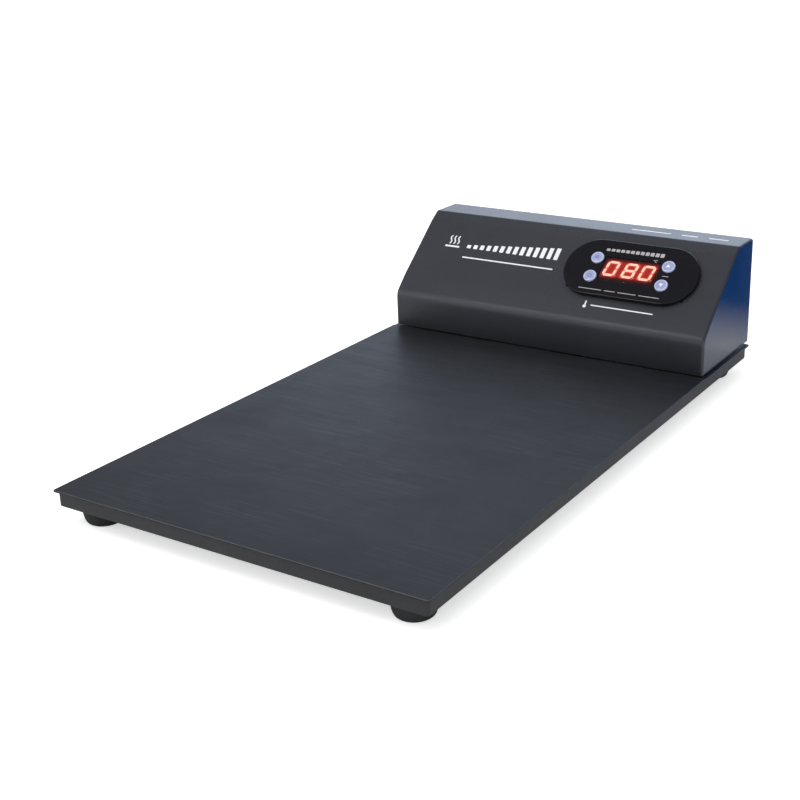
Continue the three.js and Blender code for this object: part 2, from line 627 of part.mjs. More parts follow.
const WIRES = [ // path points are [x, y, z]
  {
    name: 'heater_cable', finish: FINISH.heaterCable, radius: 1.7, steps: 26,
    path: [
      [-22, 92.8, 10.2], [-20, 104, 9.8], [-6, 120, 9.7], [-2.6, 129.6, 9.9],
      [-1.9, 131.8, 13.0], [-1.9, 132, 20], [2, 134, 28], [14, 147, 30],
      ...toTerminal(-15, -37),
    ],
  },
  {
    name: 'sensor_cable', finish: FINISH.sensorCable, radius: 1.0, steps: 28,
    path: [
      [0, 88.0, 11.2], [0.5, 98, 9.6], [3.5, 120, 9.4], [2.8, 129.8, 9.6],
      [2.6, 131.8, 12.6], [2.6, 132, 18.5], [14, 133, 23.2], [40, 146, 23.6],
      [54.5, 152, 25], ...toTerminal(14, -36),
    ],
  },
  {
    name: 'switch_feed_wire', finish: FINISH.brownWire, radius: 1.2, steps: 16,
    path: [
      [INLET_X + 7, 135.4, 38], [INLET_X + 7.5, 131, 38], [INLET_X + 18, 126.5, 42],
      [SWITCH_X - 8, 130, UPPER_TAB_Z], [SWITCH_X - 1, 135, UPPER_TAB_Z],
      [SWITCH_X, 140.5, UPPER_TAB_Z],
    ],
  },
  {
    name: 'live_wire', finish: FINISH.brownWire, radius: 1.2, steps: 18,
    path: [
      [SWITCH_X, 140.5, LOWER_TAB_Z], [SWITCH_X + 1, 134, 39], [4, 138, 35], [18, 150, 33],
      ...toTerminal(-7, -38.5),
    ],
  },
  {
    name: 'neutral_wire', finish: FINISH.blueWire, radius: 1.2, steps: 28,
    path: [
      [INLET_X - 7, 135.3, 38], [INLET_X - 6.9, 132, 37.6], [INLET_X - 5, 128, 34],
      [INLET_X + 12, 124, 25.2], [-16, 118, 23.4], [18, 113, 23.4], [38, 126, 23.2],
      [43, 142, 26.5], ...toTerminal(2, -36.5),
    ],
  },
];
for (const { name, finish, radius, steps, path } of WIRES) {
  piece(plateAxes, name, finish, tube(path, radius, steps));
}

// Earth wire with a flat tongue and ring, screwed to the chassis floor.
const RING_Z = [FLOOR_Z1 + GAP, FLOOR_Z1 + GAP + 1];
piece(plateAxes, 'earth_wire', FINISH.greenWire, join(
  tube([
    [INLET_X, 135.3, 42], [INLET_X - 0.4, 132, 42], [INLET_X - 6, 126, 40],
    [INLET_X - 20, 117, 32], [-78, 116, 25], [-81.4, 121, 22.2], [-81.6, 125.2, 21.95],
  ], 1.2, 22),
  box([-83, -80.2], [123.4, 127.6], RING_Z),
  cut(rodZ(3.9, RING_Z, EARTH_AT, 16), rodZ(SCREW_HOLE_R, [15, 25], EARTH_AT, 10)),
));
piece(plateAxes, 'earth_screw', FINISH.brass, slottedScrew({
  at: EARTH_AT, tip: 17.4, seat: RING_Z[1] + GAP, top: 23.7,
  headRadius: 3.0, crownRadius: 2.3, slotFloor: 22.9,
}));

export default hotPlate;
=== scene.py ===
"""A laboratory hotplate: a flat heating plate in a shallow tray on four rubber feet, with a
sloping control housing across its rear end. +X is right, -Y the front and +Z up; the floor is
z = 0. Shapes are drawn in millimetres, either from the floor under the middle of the plate
(from_floor) or on the housing's sloping panel (on_slope)."""
import json
from functools import cached_property
from math import atan2, cos, exp, hypot, pi, radians, sin, sqrt, tan

import bmesh
import bpy
from mathutils import Matrix, Vector


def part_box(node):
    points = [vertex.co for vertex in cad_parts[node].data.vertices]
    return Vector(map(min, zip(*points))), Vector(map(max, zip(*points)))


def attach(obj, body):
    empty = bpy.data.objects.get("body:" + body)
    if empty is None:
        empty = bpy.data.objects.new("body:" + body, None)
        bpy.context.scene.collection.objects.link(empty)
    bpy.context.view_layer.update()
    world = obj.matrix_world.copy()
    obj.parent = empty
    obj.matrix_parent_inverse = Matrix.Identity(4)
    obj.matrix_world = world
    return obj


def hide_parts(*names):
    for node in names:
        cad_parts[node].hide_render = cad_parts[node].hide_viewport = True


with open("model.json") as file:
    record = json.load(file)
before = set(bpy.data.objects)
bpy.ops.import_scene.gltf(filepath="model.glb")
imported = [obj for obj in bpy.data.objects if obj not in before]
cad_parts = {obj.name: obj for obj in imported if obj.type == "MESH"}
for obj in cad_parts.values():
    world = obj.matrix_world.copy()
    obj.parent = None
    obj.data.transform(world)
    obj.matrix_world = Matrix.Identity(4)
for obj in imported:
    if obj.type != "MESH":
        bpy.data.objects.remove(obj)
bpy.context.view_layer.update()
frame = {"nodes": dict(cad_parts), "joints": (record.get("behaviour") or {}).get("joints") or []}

MM = 0.001
CHASSIS = "chassis"
SHEET = 1.2  # thickness of the folded sheets
CLEAR = 1.85  # radius of a screw clearance hole
WINDOW = (-0.5, -0.5)  # centre of the display window on the slope
DISPLAY_DEPTH = 2.1  # centre of the display block below the panel
scene = bpy.context.scene

# ---------------------------------------------------------------- places, taken from the CAD
plate_low, plate_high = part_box("heating_plate")
house_low, house_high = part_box("housing_cover")
MID_X = (plate_low.x + plate_high.x) / 2
MID_Y = (plate_low.y + plate_high.y) / 2
PLATE_TOP = plate_high.z / MM
HOUSE_BASE = house_low.z / MM
HOUSE_TOP = house_high.z / MM


def from_floor(point):
    """millimetres from the floor under the middle of the plate, to metres"""
    return Vector((point[0] * MM + MID_X, point[1] * MM + MID_Y, point[2] * MM))


press = next(j for j in frame["joints"] if j["name"] == "press_upper_left")
OUT = -Vector(press["axis"]).normalized()
ACROSS = Vector((1, 0, 0))
UPHILL = OUT.cross(ACROSS).normalized()
display_low, display_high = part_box("led_display")
SLOPE_ORIGIN = (display_low + display_high) / 2 - (
    WINDOW[0] * ACROSS + WINDOW[1] * UPHILL - DISPLAY_DEPTH * OUT) * MM


def on_slope(point):
    """millimetres across, up and out of the sloping panel, to metres"""
    return SLOPE_ORIGIN + (point[0] * ACROSS + point[1] * UPHILL + point[2] * OUT) * MM


def slope_coords(point):
    """the reverse of on_slope"""
    offset = (point - SLOPE_ORIGIN) / MM
    return offset.dot(ACROSS), offset.dot(UPHILL), offset.dot(OUT)


def plan_centre(node):
    low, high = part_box(node)
    centre = (low + high) / 2
    return (centre.x - MID_X) / MM, (centre.y - MID_Y) / MM


WHERE = ("front_left", "front_right", "rear_left", "rear_right")
CORNERS = {where: plan_centre("foot_" + where) for where in WHERE}
HOUSE_FIX = {where: plan_centre("housing_spacer_" + where) for where in WHERE}


# ---------------------------------------------------------------- outlines, (x, y) points
def steps(first, last, count):
    return [first + (last - first) * i / (count - 1) for i in range(count)]


def inset_outline(points, distance):
    """moves a closed counter-clockwise outline inwards"""
    out = []
    for i, point in enumerate(points):
        before, here = Vector(points[i - 1]), Vector(point)
        after = Vector(points[(i + 1) % len(points)])
        edge_in, edge_out = (here - before).normalized(), (after - here).normalized()
        normal = Vector((-edge_in.y, edge_in.x))
        both = normal + Vector((-edge_out.y, edge_out.x))
        reach = distance / max(0.15, both.dot(normal))
        out.append((here.x + both.x * reach, here.y + both.y * reach))
    return out


def fillet(points, radii, n=6, closed=True):
    """rounds the corners of an outline; radii is one number or one per point"""
    count, out = len(points), []
    if not isinstance(radii, list):
        radii = [radii] * count
    for i in range(count):
        if not closed and i in (0, count - 1):
            out.append(tuple(points[i]))
            continue
        corner = Vector(points[i])
        back = (Vector(points[i - 1]) - corner).normalized()
        ahead = (Vector(points[(i + 1) % count]) - corner).normalized()
        half = back.angle(ahead) / 2
        radius = max(radii[i], 1e-3)
        trim = radius / tan(half)
        centre = corner + (back + ahead).normalized() * (radius / sin(half))
        start = corner + back * trim - centre
        end = corner + ahead * trim - centre
        turn = atan2(start.x * end.y - start.y * end.x, start.dot(end))
        for k in range(n + 1):
            t = turn * k / n
            out.append((centre.x + start.x * cos(t) - start.y * sin(t),
                        centre.y + start.x * sin(t) + start.y * cos(t)))
    return out


def rectangle(x0, x1, y0, y1):
    return [(x0, y0), (x1, y0), (x1, y1), (x0, y1)]


def round_rect(width, height, radius, x=0.0, y=0.0, n=8):
    right, left, top, bottom = x + width / 2, x - width / 2, y + height / 2, y - height / 2
    corners = [(right, bottom), (right, top), (left, top), (left, bottom)]
    return fillet(corners, max(radius, 0.01), n)


def inset_rect(width, height, radius, least=0.0, x=0.0, y=0.0, n=8):
    """a rounded rectangle as a function of its inset; least is the smallest corner radius"""
    return lambda inset: round_rect(width - 2 * inset, height - 2 * inset,
                                    max(radius - inset, least), x, y, n)


def circle(radius, x=0.0, y=0.0, n=64):
    return [(x + radius * cos(2 * pi * i / n), y + radius * sin(2 * pi * i / n))
            for i in range(n)]


def top_edge(radius, level, n=6):
    """(inset, level) profile of a rounded upper edge"""
    return [(radius - radius * cos(t), level - radius + radius * sin(t))
            for t in steps(0, pi / 2, n)]


def bottom_edge(radius, level, n=6):
    return [(radius - radius * cos(t), level + radius - radius * sin(t))
            for t in steps(pi / 2, 0, n)]


def spline(points, n=8):
    """smooth curve through the points, n steps from each to the next"""
    pts, out = [Vector(q) for q in points], []
    for i in range(len(pts) - 1):
        b, c = pts[i], pts[i + 1]
        a = pts[i - 1] if i > 0 else b * 2 - c
        d = pts[i + 2] if i + 2 < len(pts) else c * 2 - b
        for k in range(n):
            t = k / n
            out.append(0.5 * ((2 * b) + (c - a) * t + (2 * a - 5 * b + 4 * c - d) * t * t
                              + (3 * b - a - 3 * c + d) * t ** 3))
    out.append(pts[-1])
    return out


# ---------------------------------------------------------------- shapes, (vertices, faces)
def rings(sections, loop=False):
    """skins a row of equal rings; capped at both ends, or closed on itself"""
    n, m = len(sections[0]), len(sections)
    faces = []
    for k in range(m if loop else m - 1):
        a, b = k * n, ((k + 1) % m) * n
        for i in range(n):
            j = (i + 1) % n
            faces.append((a + i, a + j, b + j, b + i))
    if not loop:
        faces.append(tuple(range(n))[::-1])
        faces.append(tuple((m - 1) * n + i for i in range(n)))
    return [p for section in sections for p in section], faces


def merge(*parts):
    verts, faces = [], []
    for part_verts, part_faces in parts:
        first = len(verts)
        verts += list(part_verts)
        faces += [tuple(i + first for i in face) for face in part_faces]
    return verts, faces


def stack_up(outline, profile, loop=False):
    """outline(size) at each (size, z) of the profile"""
    return rings([[(x, y, z) for x, y in outline(size)] for size, z in profile], loop)


def stack_back(outline, profile):
    """outline(size), in (x, z), at each (size, y) of the profile"""
    return rings([[(x, y, z) for x, z in outline(size)] for size, y in profile])


def lathe_up(profile, x=0.0, y=0.0, n=64, loop=False):
    """turns a (radius, z) profile"""
    return stack_up(lambda radius: circle(radius, x, y, n), profile, loop)


def lathe_back(profile, x, z, n=48):
    """turns a (radius, y) profile"""
    return stack_back(lambda radius: circle(radius, x, z, n), profile)


def post(radius, z0, z1, x, y, n=40):
    return lathe_up([(radius, z0), (radius, z1)], x, y, n)


def hole_up(z0, z1, place):
    return post(CLEAR, z0, z1, *place, 24)


def hole_back(y0, y1, x, z):
    return lathe_back([(CLEAR, y0), (CLEAR, y1)], x, z, 24)


def prism(points, levels):
    return stack_up(lambda _: points, [(0, level) for level in levels])


def box(x0, x1, y0, y1, z0, z1):
    return prism(rectangle(x0, x1, y0, y1), (z0, z1))


def round_box(x0, x1, y0, y1, z0, z1, radius):
    outline = inset_rect(x1 - x0, y1 - y0, radius, 0.02, (x0 + x1) / 2, (y0 + y1) / 2, 4)
    return stack_up(outline, bottom_edge(radius, z0, 4) + top_edge(radius, z1, 4))


def bar(width, height, radius, x, y, levels, n=3):
    return prism(round_rect(width, height, radius, x, y, n), levels)


def stroke(points, width, levels, closed=False):
    """a thick line as a thin solid"""
    low, high = levels
    last = len(points) - 1
    sections = []
    for i, (x, y) in enumerate(points):
        before = Vector(points[i - 1] if closed or i > 0 else points[i])
        after = Vector(points[(i + 1) % len(points)] if closed or i < last else points[i])
        along = (after - before).normalized()
        side = Vector((-along.y, along.x)) * width / 2
        left, right = (x + side.x, y + side.y), (x - side.x, y - side.y)
        sections.append([(*left, low), (*right, low), (*right, high), (*left, high)])
    return rings(sections, closed)


def tube(points, radius, sides=14, n=10):
    """round tube along a smooth path"""
    path = spline(points, n)
    sections = []
    ref = Vector((0, 0, 1))
    for i, here in enumerate(path):
        along = (path[min(i + 1, len(path) - 1)] - path[max(i - 1, 0)]).normalized()
        if abs(along.dot(ref)) > 0.98 and i == 0:
            ref = Vector((1, 0, 0))
        ref = (ref - along * ref.dot(along)).normalized()
        other = along.cross(ref)
        angles = [2 * pi * k / sides for k in range(sides)]
        sections.append([tuple(here + (ref * cos(t) + other * sin(t)) * radius)
                         for t in angles])
    return rings(sections)


# ---------------------------------------------------------------- objects
MATS = {}


def shade(ob, angle, weighted=True):
    """smooth faces, with edges sharper than the angle (degrees) kept hard"""
    bm = bmesh.new()
    bm.from_mesh(ob.data)
    for face in bm.faces:
        face.smooth = True
    for edge in bm.edges:
        edge.smooth = len(edge.link_faces) == 2 and edge.calc_face_angle(0.0) < radians(angle)
    bm.to_mesh(ob.data)
    bm.free()
    if weighted:
        modifier = ob.modifiers.new("normals", "WEIGHTED_NORMAL")
        modifier.weight = 85
        modifier.keep_sharp = True


def add_materials(ob, *names):
    for name in names:
        ob.data.materials.append(MATS[name])


def make(name, shape, material=None, place=from_floor, angle=32, weighted=True):
    verts, faces = shape
    mesh = bpy.data.meshes.new(name)
    bm = bmesh.new()
    placed = [bm.verts.new(place(v)) for v in verts]
    for face in faces:
        try:
            bm.faces.new([placed[i] for i in face])
        except ValueError:  # guards against a face that is already there
            pass
    bmesh.ops.remove_doubles(bm, verts=bm.verts, dist=2e-7)
    bmesh.ops.dissolve_degenerate(bm, edges=bm.edges, dist=1e-7)
    bmesh.ops.recalc_face_normals(bm, faces=bm.faces)
    bm.to_mesh(mesh)
    bm.free()
    ob = bpy.data.objects.new(name, mesh)
    scene.collection.objects.link(ob)
    if material:
        add_materials(ob, material)
    shade(ob, angle, weighted)
    return ob


def cutter(shape, place):
    return make("cutter", shape, place=place, weighted=False)


def boolean(ob, shapes, place=from_floor, op="DIFFERENCE", angle=32, placed=()):
    """cuts or joins the shapes, after any already placed cutters; leaves plain mesh"""
    cutters = [*placed, *(cutter(shape, place) for shape in shapes)]
    materials = list(ob.data.materials)
    ob.modifiers.clear()
    for other in cutters:
        modifier = ob.modifiers.new("cut", "BOOLEAN")
        modifier.operation = op
        modifier.object = other
        modifier.solver = "EXACT"
    bpy.context.view_layer.update()
    graph = bpy.context.evaluated_depsgraph_get()
    mesh = bpy.data.meshes.new_from_object(ob.evaluated_get(graph), depsgraph=graph)
    ob.modifiers.clear()
    ob.data = mesh
    mesh.materials.clear()
    for material in materials:
        mesh.materials.append(material)
    for other in cutters:
        old = other.data
        bpy.data.objects.remove(other)
        bpy.data.meshes.remove(old)
    shade(ob, angle)


def register(ob, replaces=None, body=CHASSIS):
    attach(ob, body)
    if replaces:
        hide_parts(replaces)


# ---------------------------------------------------------------- shader node helpers
class Nodes:
    """builds a node tree; values may be numbers, colours, sockets or nodes"""

    def __init__(self, tree):
        self.tree = tree
        tree.nodes.clear()

    def node(self, kind, inputs=None, **props):
        node = self.tree.nodes.new(kind)
        for key, value in props.items():
            setattr(node, key, value)
        for key, value in (inputs or {}).items():
            self.set(node, key, value)
        return node

    def set(self, node, key, value):
        socket = node.inputs[key]
        if isinstance(value, bpy.types.Node):
            value = value.outputs[0]
        if isinstance(value, bpy.types.NodeSocket):
            self.tree.links.new(value, socket)
        elif socket.type == "RGBA" and len(value) == 3:
            socket.default_value = (*value, 1)
        else:
            socket.default_value = value

    @cached_property
    def co(self):
        return self.node("ShaderNodeTexCoord").outputs["Object"]

    @cached_property
    def normal(self):
        return self.node("ShaderNodeNewGeometry").outputs["Normal"]

    def noise(self, scale, detail=3.0, rough=0.55, vec=None, distort=0.0):
        return self.node("ShaderNodeTexNoise", {
            "Vector": vec or self.co, "Scale": scale, "Detail": detail, "Roughness": rough,
            "Distortion": distort}).outputs["Fac"]

    def stretch(self, scale, rot=(0, 0, 0), shift=(0, 0, 0)):
        return self.node("ShaderNodeMapping", {
            "Vector": self.co, "Scale": scale, "Rotation": rot, "Location": shift}).outputs[0]

    def voronoi(self, scale):
        inputs = {"Vector": self.co, "Scale": scale}
        return self.node("ShaderNodeTexVoronoi", inputs).outputs["Distance"]

    def wave(self, vec, scale, distort, **props):
        return self.node("ShaderNodeTexWave", {
            "Vector": vec, "Scale": scale, "Distortion": distort}, **props).outputs["Fac"]

    def math(self, operation, a, b, clamp=False):
        inputs = {0: a, 1: b}
        return self.node("ShaderNodeMath", inputs, operation=operation,
                         use_clamp=clamp).outputs[0]

    def mul(self, a, b, clamp=False):
        return self.math("MULTIPLY", a, b, clamp)

    def muladd(self, value, factor, plus):
        inputs = {0: value, 1: factor, 2: plus}
        return self.node("ShaderNodeMath", inputs, operation="MULTIPLY_ADD").outputs[0]

    def ramp(self, fac, stops):
        """grey ramp through (position, value) stops"""
        node = self.node("ShaderNodeValToRGB", {"Fac": fac})
        elements = node.color_ramp.elements
        elements[0].position = stops[0][0]
        elements[-1].position = stops[-1][0]
        for position, _ in stops[1:-1]:
            elements.new(position)
        for element, (_, grey) in zip(list(elements), stops):
            element.color = (grey, grey, grey, 1)
        return node.outputs["Color"]

    def range(self, value, low, high, to_low=0.0, to_high=1.0, **props):
        return self.node("ShaderNodeMapRange", {
            "Value": value, "From Min": low, "From Max": high, "To Min": to_low,
            "To Max": to_high}, clamp=True, **props).outputs[0]

    def mix(self, fac, a, b, blend="MIX"):
        inputs = {0: fac, 6: a, 7: b}
        return self.node("ShaderNodeMix", inputs, data_type="RGBA", blend_type=blend).outputs[2]

    def shift(self, value, low, high, a, b, most=1.0):
        """colour a, moving to b by up to most as value climbs from low to high"""
        return self.mix(self.range(value, low, high, 0.0, most), a, b)

    def bump(self, height, distance, normal=None):
        inputs = {"Height": height, "Distance": distance, "Strength": 1.0}
        if normal is not None:
            inputs["Normal"] = normal
        return self.node("ShaderNodeBump", inputs).outputs[0]

    def z_of(self, vec):
        return self.node("ShaderNodeSeparateXYZ", {0: vec}).outputs["Z"]

    def edges(self, radius=0.0006, low=0.02, high=0.22):
        """1 on the object's own sharp edges, 0 on its flats"""
        bevel = self.node("ShaderNodeBevel", {"Radius": radius}, samples=6)
        dot = self.node("ShaderNodeVectorMath", {0: bevel, 1: self.normal},
                        operation="DOT_PRODUCT").outputs["Value"]
        return self.range(self.math("SUBTRACT", 1.0, dot), low, high)

    def mix_shader(self, fac, a, b):
        return self.node("ShaderNodeMixShader", {0: fac, 1: a, 2: b})


class Mat(Nodes):
    def __init__(self, name):
        material = MATS[name] = bpy.data.materials.new(name)
        material.use_nodes = True
        super().__init__(material.node_tree)
        self.out = self.node("ShaderNodeOutputMaterial")

    def surface(self, shader):
        self.set(self.out, "Surface", shader)

    def principled(self, **inputs):
        inputs = {key.replace("_", " "): value for key, value in inputs.items()}
        self.surface(self.node("ShaderNodeBsdfPrincipled", inputs))


def scaled(color, factor):
    return tuple(min(1.0, x * factor) for x in color)


# ---------------------------------------------------------------- kinds of material
def paint(name, base, rough, grain=2000.0, grain_h=1.4e-5, peel_h=1.6e-5, mottle=0.16,
          wear=None, wear_amt=0.5, spec=0.5, coat=0.0, coat_rough=0.3, speck=0.0,
          rough_var=0.07, edge_r=0.0006, dust=0.0, painted_light_by_height=None):
    """powder coat, moulded plastic or rubber. grain is the fine relief's scale, grain_h and
    peel_h the fine and broad relief in metres, wear the colour of rubbed edges, and the last
    argument a list of (height in metres, brightness) that lays painted shade and painted
    highlights on the colour by height"""
    m = Mat(name)
    col = m.shift(m.noise(22, detail=4, rough=0.6, distort=0.4), 0.3, 0.7,
                  scaled(base, 1 - mottle), scaled(base, 1 + mottle))
    col = m.shift(m.noise(260), 0.35, 0.65, col, scaled(base, 1 + mottle * 0.6), most=0.5)
    if speck:
        dot = m.range(m.voronoi(grain * 0.55), 0.16, 0.05)
        pick = m.range(m.noise(900, detail=1), 0.52, 0.6)
        col = m.mix(m.mul(m.mul(dot, pick), speck), col, scaled(base, 5.0))
    if painted_light_by_height:
        # painted light: the colour is darkened or lightened by height, standing in for shade and
        # highlights
        low, high = painted_light_by_height[0][0], painted_light_by_height[-1][0]
        # the ramp holds half brightness, doubled after it is multiplied in
        painted_light_ramp = m.ramp(m.range(m.z_of(m.co), low, high),
                      [((z - low) / (high - low), bright * 0.5) for z, bright in painted_light_by_height])
        col = m.mix(1.0, m.mix(1.0, col, painted_light_ramp, "MULTIPLY"), (2.0, 2.0, 2.0), "MULTIPLY")
    gloss = m.muladd(m.noise(14, rough=0.6, distort=1.2), 2 * rough_var, rough - rough_var)
    gloss = m.muladd(m.noise(grain * 0.4, detail=2), 0.08, m.math("SUBTRACT", gloss, 0.04))
    if wear:
        chip = m.range(m.noise(420, detail=4, rough=0.65), 0.42, 0.62)
        mask = m.mul(m.mul(m.edges(edge_r), m.muladd(chip, 0.7, 0.3)), wear_amt, clamp=True)
        col = m.mix(mask, col, wear)
        gloss = m.muladd(mask, -0.08, gloss)
    if dust:
        facing_up = m.range(m.z_of(m.normal), 0.2, 0.95)
        specks = m.range(m.noise(1100, rough=0.7), 0.58, 0.72)
        patches = m.mul(m.range(m.noise(30), 0.35, 0.7), dust)
        mask = m.mul(m.mul(facing_up, specks), patches)
        col = m.mix(mask, col, (0.42, 0.42, 0.44))
        gloss = m.muladd(mask, 0.3, gloss)
    relief = m.bump(m.noise(320, detail=2, rough=0.5), peel_h)
    relief = m.bump(m.noise(grain, detail=2, rough=0.6), grain_h, relief)
    m.principled(Base_Color=col, Roughness=m.math("MAXIMUM", gloss, 0.06), Normal=relief,
                 Specular_IOR_Level=spec, Coat_Weight=coat, Coat_Roughness=coat_rough)


def metal(name, base, rough, tarnish, tarnish_amt=0.25):
    """brushed along Z, with blotches of tarnish and brighter edges"""
    m = Mat(name)
    line = m.noise(1.0, detail=4, rough=0.6, vec=m.stretch((900, 900, 60)))
    blot = m.range(m.noise(240, detail=4, rough=0.6, distort=0.6), 0.4, 0.75)
    col = m.mix(m.mul(blot, tarnish_amt), base, tarnish)
    col = m.mix(m.mul(m.edges(0.0004), 0.4), col, scaled(base, 1.15))
    gloss = m.muladd(line, 0.2, m.muladd(blot, 0.12, rough - 0.1))
    m.principled(Base_Color=col, Roughness=gloss, Metallic=1.0, Normal=m.bump(line, 4e-6))


# hairline scratches: direction in radians, noise level where they start, offset
SCRATCHES = ((0.35, 0.652, 3.1), (1.9, 0.662, 7.7), (2.65, 0.668, 11.3))


def plate_material():
    """satin black coating: grain, smudges, wipe marks, hairline scratches, dust, rubbed edges
    lightened enough to serve also as a painted rim highlight
    """
    m = Mat("plate_coating")
    base = (0.0140, 0.0145, 0.0165)
    col = m.shift(m.noise(9, detail=4, rough=0.6, distort=0.8), 0.3, 0.7,
                  scaled(base, 0.88), scaled(base, 1.14))
    grain = m.noise(1.0, rough=0.6, vec=m.stretch((2600, 900, 2600)))
    col = m.shift(grain, 0.35, 0.7, col, scaled(base, 1.4), most=0.22)
    # wiping marks: long soft arcs in the gloss
    wipe = m.noise(1.0, rough=0.5, vec=m.stretch((14, 46, 14), (0, 0, 0.6)), distort=1.6)
    smear = m.noise(26, detail=5, rough=0.62, distort=2.2)
    gloss = m.muladd(wipe, 0.08, 0.40)
    gloss = m.muladd(m.range(smear, 0.4, 0.72), 0.045, gloss)
    mask = None
    for rot, level, seed in SCRATCHES:
        vec = m.stretch((22, 2600, 1), (0, 0, rot), (seed, seed * 2, 0))
        lines = m.range(m.noise(1.0, detail=1, rough=0.4, vec=vec), level, level + 0.03)
        turned = m.stretch((1, 1, 1), (0, 0, seed))
        lines = m.mul(lines, m.range(m.noise(16, detail=2, vec=turned), 0.46, 0.6))
        mask = lines if mask is None else m.math("MAXIMUM", mask, lines)
    col = m.mix(m.mul(mask, 0.14), col, (0.16, 0.165, 0.175))
    dust = m.mul(m.range(m.voronoi(520), 0.10, 0.03),
                 m.range(m.noise(60, detail=2), 0.55, 0.66))
    col = m.mix(m.mul(dust, 0.2), col, (0.3, 0.3, 0.32))
    # rubbed edges, mixed in light enough that they also stand as a painted highlight along the
    # plate's rims
    chip = m.range(m.noise(500, detail=4, rough=0.65), 0.36, 0.6)
    worn = m.mul(m.edges(0.0009, low=0.015, high=0.2), m.muladd(chip, 0.6, 0.4))
    col = m.mix(m.mul(worn, 0.8), col, (0.30, 0.31, 0.32))
    gloss = m.muladd(worn, -0.06, gloss)
    relief = m.bump(m.noise(420, detail=2, rough=0.5), 1.1e-5)
    relief = m.bump(grain, 3e-6, relief)
    relief = m.bump(mask, -3e-6, relief)
    m.principled(Base_Color=col, Roughness=gloss, Normal=relief, Specular_IOR_Level=0.085)


def weave(name, dark, light, pitch, rough):
    m = Mat(name)
    warp, weft = (m.wave(m.co, pitch / 6.28 * 0.5, 0.4, bands_direction=axis) for axis in "XY")
    height = m.mul(warp, weft)
    col = m.shift(height, 0.1, 0.8, dark, light)
    col = m.shift(m.noise(40, detail=4), 0.35, 0.7, col, scaled(dark, 0.7), most=0.3)
    m.principled(Base_Color=col, Roughness=rough, Normal=m.bump(height, 8e-5))


def board_material():
    m = Mat("circuit_board")
    tracks = m.node("ShaderNodeTexBrick", {
        "Vector": m.stretch((1, 1, 1), (0.7, 0, 0)), "Scale": 260.0, "Mortar Size": 0.06,
        "Color1": (0.01, 0.09, 0.035), "Color2": (0.012, 0.13, 0.05),
        "Mortar": (0.02, 0.19, 0.08)}, offset=0.3)
    col = m.shift(m.voronoi(420), 0.16, 0.1, tracks.outputs["Color"], (0.55, 0.55, 0.5))
    col = m.shift(m.noise(60), 0.4, 0.7, col, (0.008, 0.06, 0.025), most=0.4)
    m.principled(Base_Color=col, Roughness=m.range(m.noise(300, detail=2), 0, 1, 0.28, 0.45),
                 Normal=m.bump(tracks.outputs["Fac"], -1.5e-5))


def glass(name, tint, gloss=0.55, rough=0.06):
    """thin tinted cover: see-through with a smudged reflecting face"""
    m = Mat(name)
    smear = m.noise(120, rough=0.5, distort=0.6)
    smudged = m.muladd(m.range(smear, 0.4, 0.75), 0.06, rough)
    clear = m.node("ShaderNodeBsdfTransparent", {
        "Color": m.shift(smear, 0.45, 0.8, tint, scaled(tint, 0.85), most=0.25)})
    shine = m.node("ShaderNodeBsdfGlossy", {
        "Color": (0.9, 0.9, 0.92), "Roughness": smudged,
        "Normal": m.bump(m.noise(500, detail=2), 6e-7)})
    fresnel = m.node("ShaderNodeFresnel", {"IOR": 1.46})
    m.surface(m.mix_shader(m.mul(fresnel, gloss), clear, shine))


def ink(name, color, worn=0.25, rough=0.5):
    m = Mat(name)
    wear = m.range(m.noise(1500, detail=4, rough=0.7), 0.5, 0.75)
    col = m.mix(m.mul(wear, worn), color, scaled(color, 0.6))
    m.principled(Base_Color=col, Roughness=m.muladd(wear, 0.15, rough),
                 Normal=m.bump(m.noise(2500, detail=2), 1e-5))


def glow(name, color, vary):
    """translucent plastic lit from behind; vary is the unevenness of the light"""
    m = Mat(name)
    strength = m.muladd(m.noise(900, detail=2), 2 * vary, 1 - vary)
    m.principled(Base_Color=(0.012, 0.003, 0.003), Specular_IOR_Level=0.2,
                 Roughness=m.range(m.noise(600, detail=2), 0, 1, 0.4, 0.55),
                 Emission_Color=color, Emission_Strength=strength,
                 Normal=m.bump(m.noise(1800, detail=2), 1e-5))


def earth_wire_material():
    """green with yellow stripes"""
    m = Mat("earth_wire")
    stripes = m.wave(m.stretch((1, 1, 1), (0.6, 0.5, 0.3)), 90.0, 0.3)
    col = m.shift(stripes, 0.55, 0.62, (0.04, 0.30, 0.04), (0.72, 0.62, 0.05))
    m.principled(Base_Color=col, Roughness=m.range(m.noise(700, detail=2), 0, 1, 0.35, 0.5),
                 Normal=m.bump(m.noise(2400, detail=2), 6e-6))


# ---------------------------------------------------------------- the materials
BARE = (0.16, 0.165, 0.17)  # rubbed-through metal
PLATE_RIM = dict(grain=2400, peel_h=1.2e-5, wear=BARE, edge_r=0.0007)
PEARL = dict(grain=3200, grain_h=3e-6, peel_h=4e-6, spec=0.6, coat=0.8, coat_rough=0.1)
# height in metres, brightness of the housing paint near the plate: painted shade darkening the front
# band towards the plate, and a painted highlight along the lower bend of the slope
HOUSE_PAINTED_SHADE_AND_HIGHLIGHT = [(0.016, 0.50), (0.023, 0.80), (0.0310, 1.05), (0.0342, 1.60), (0.0362, 1.08),
              (0.040, 1.0)]

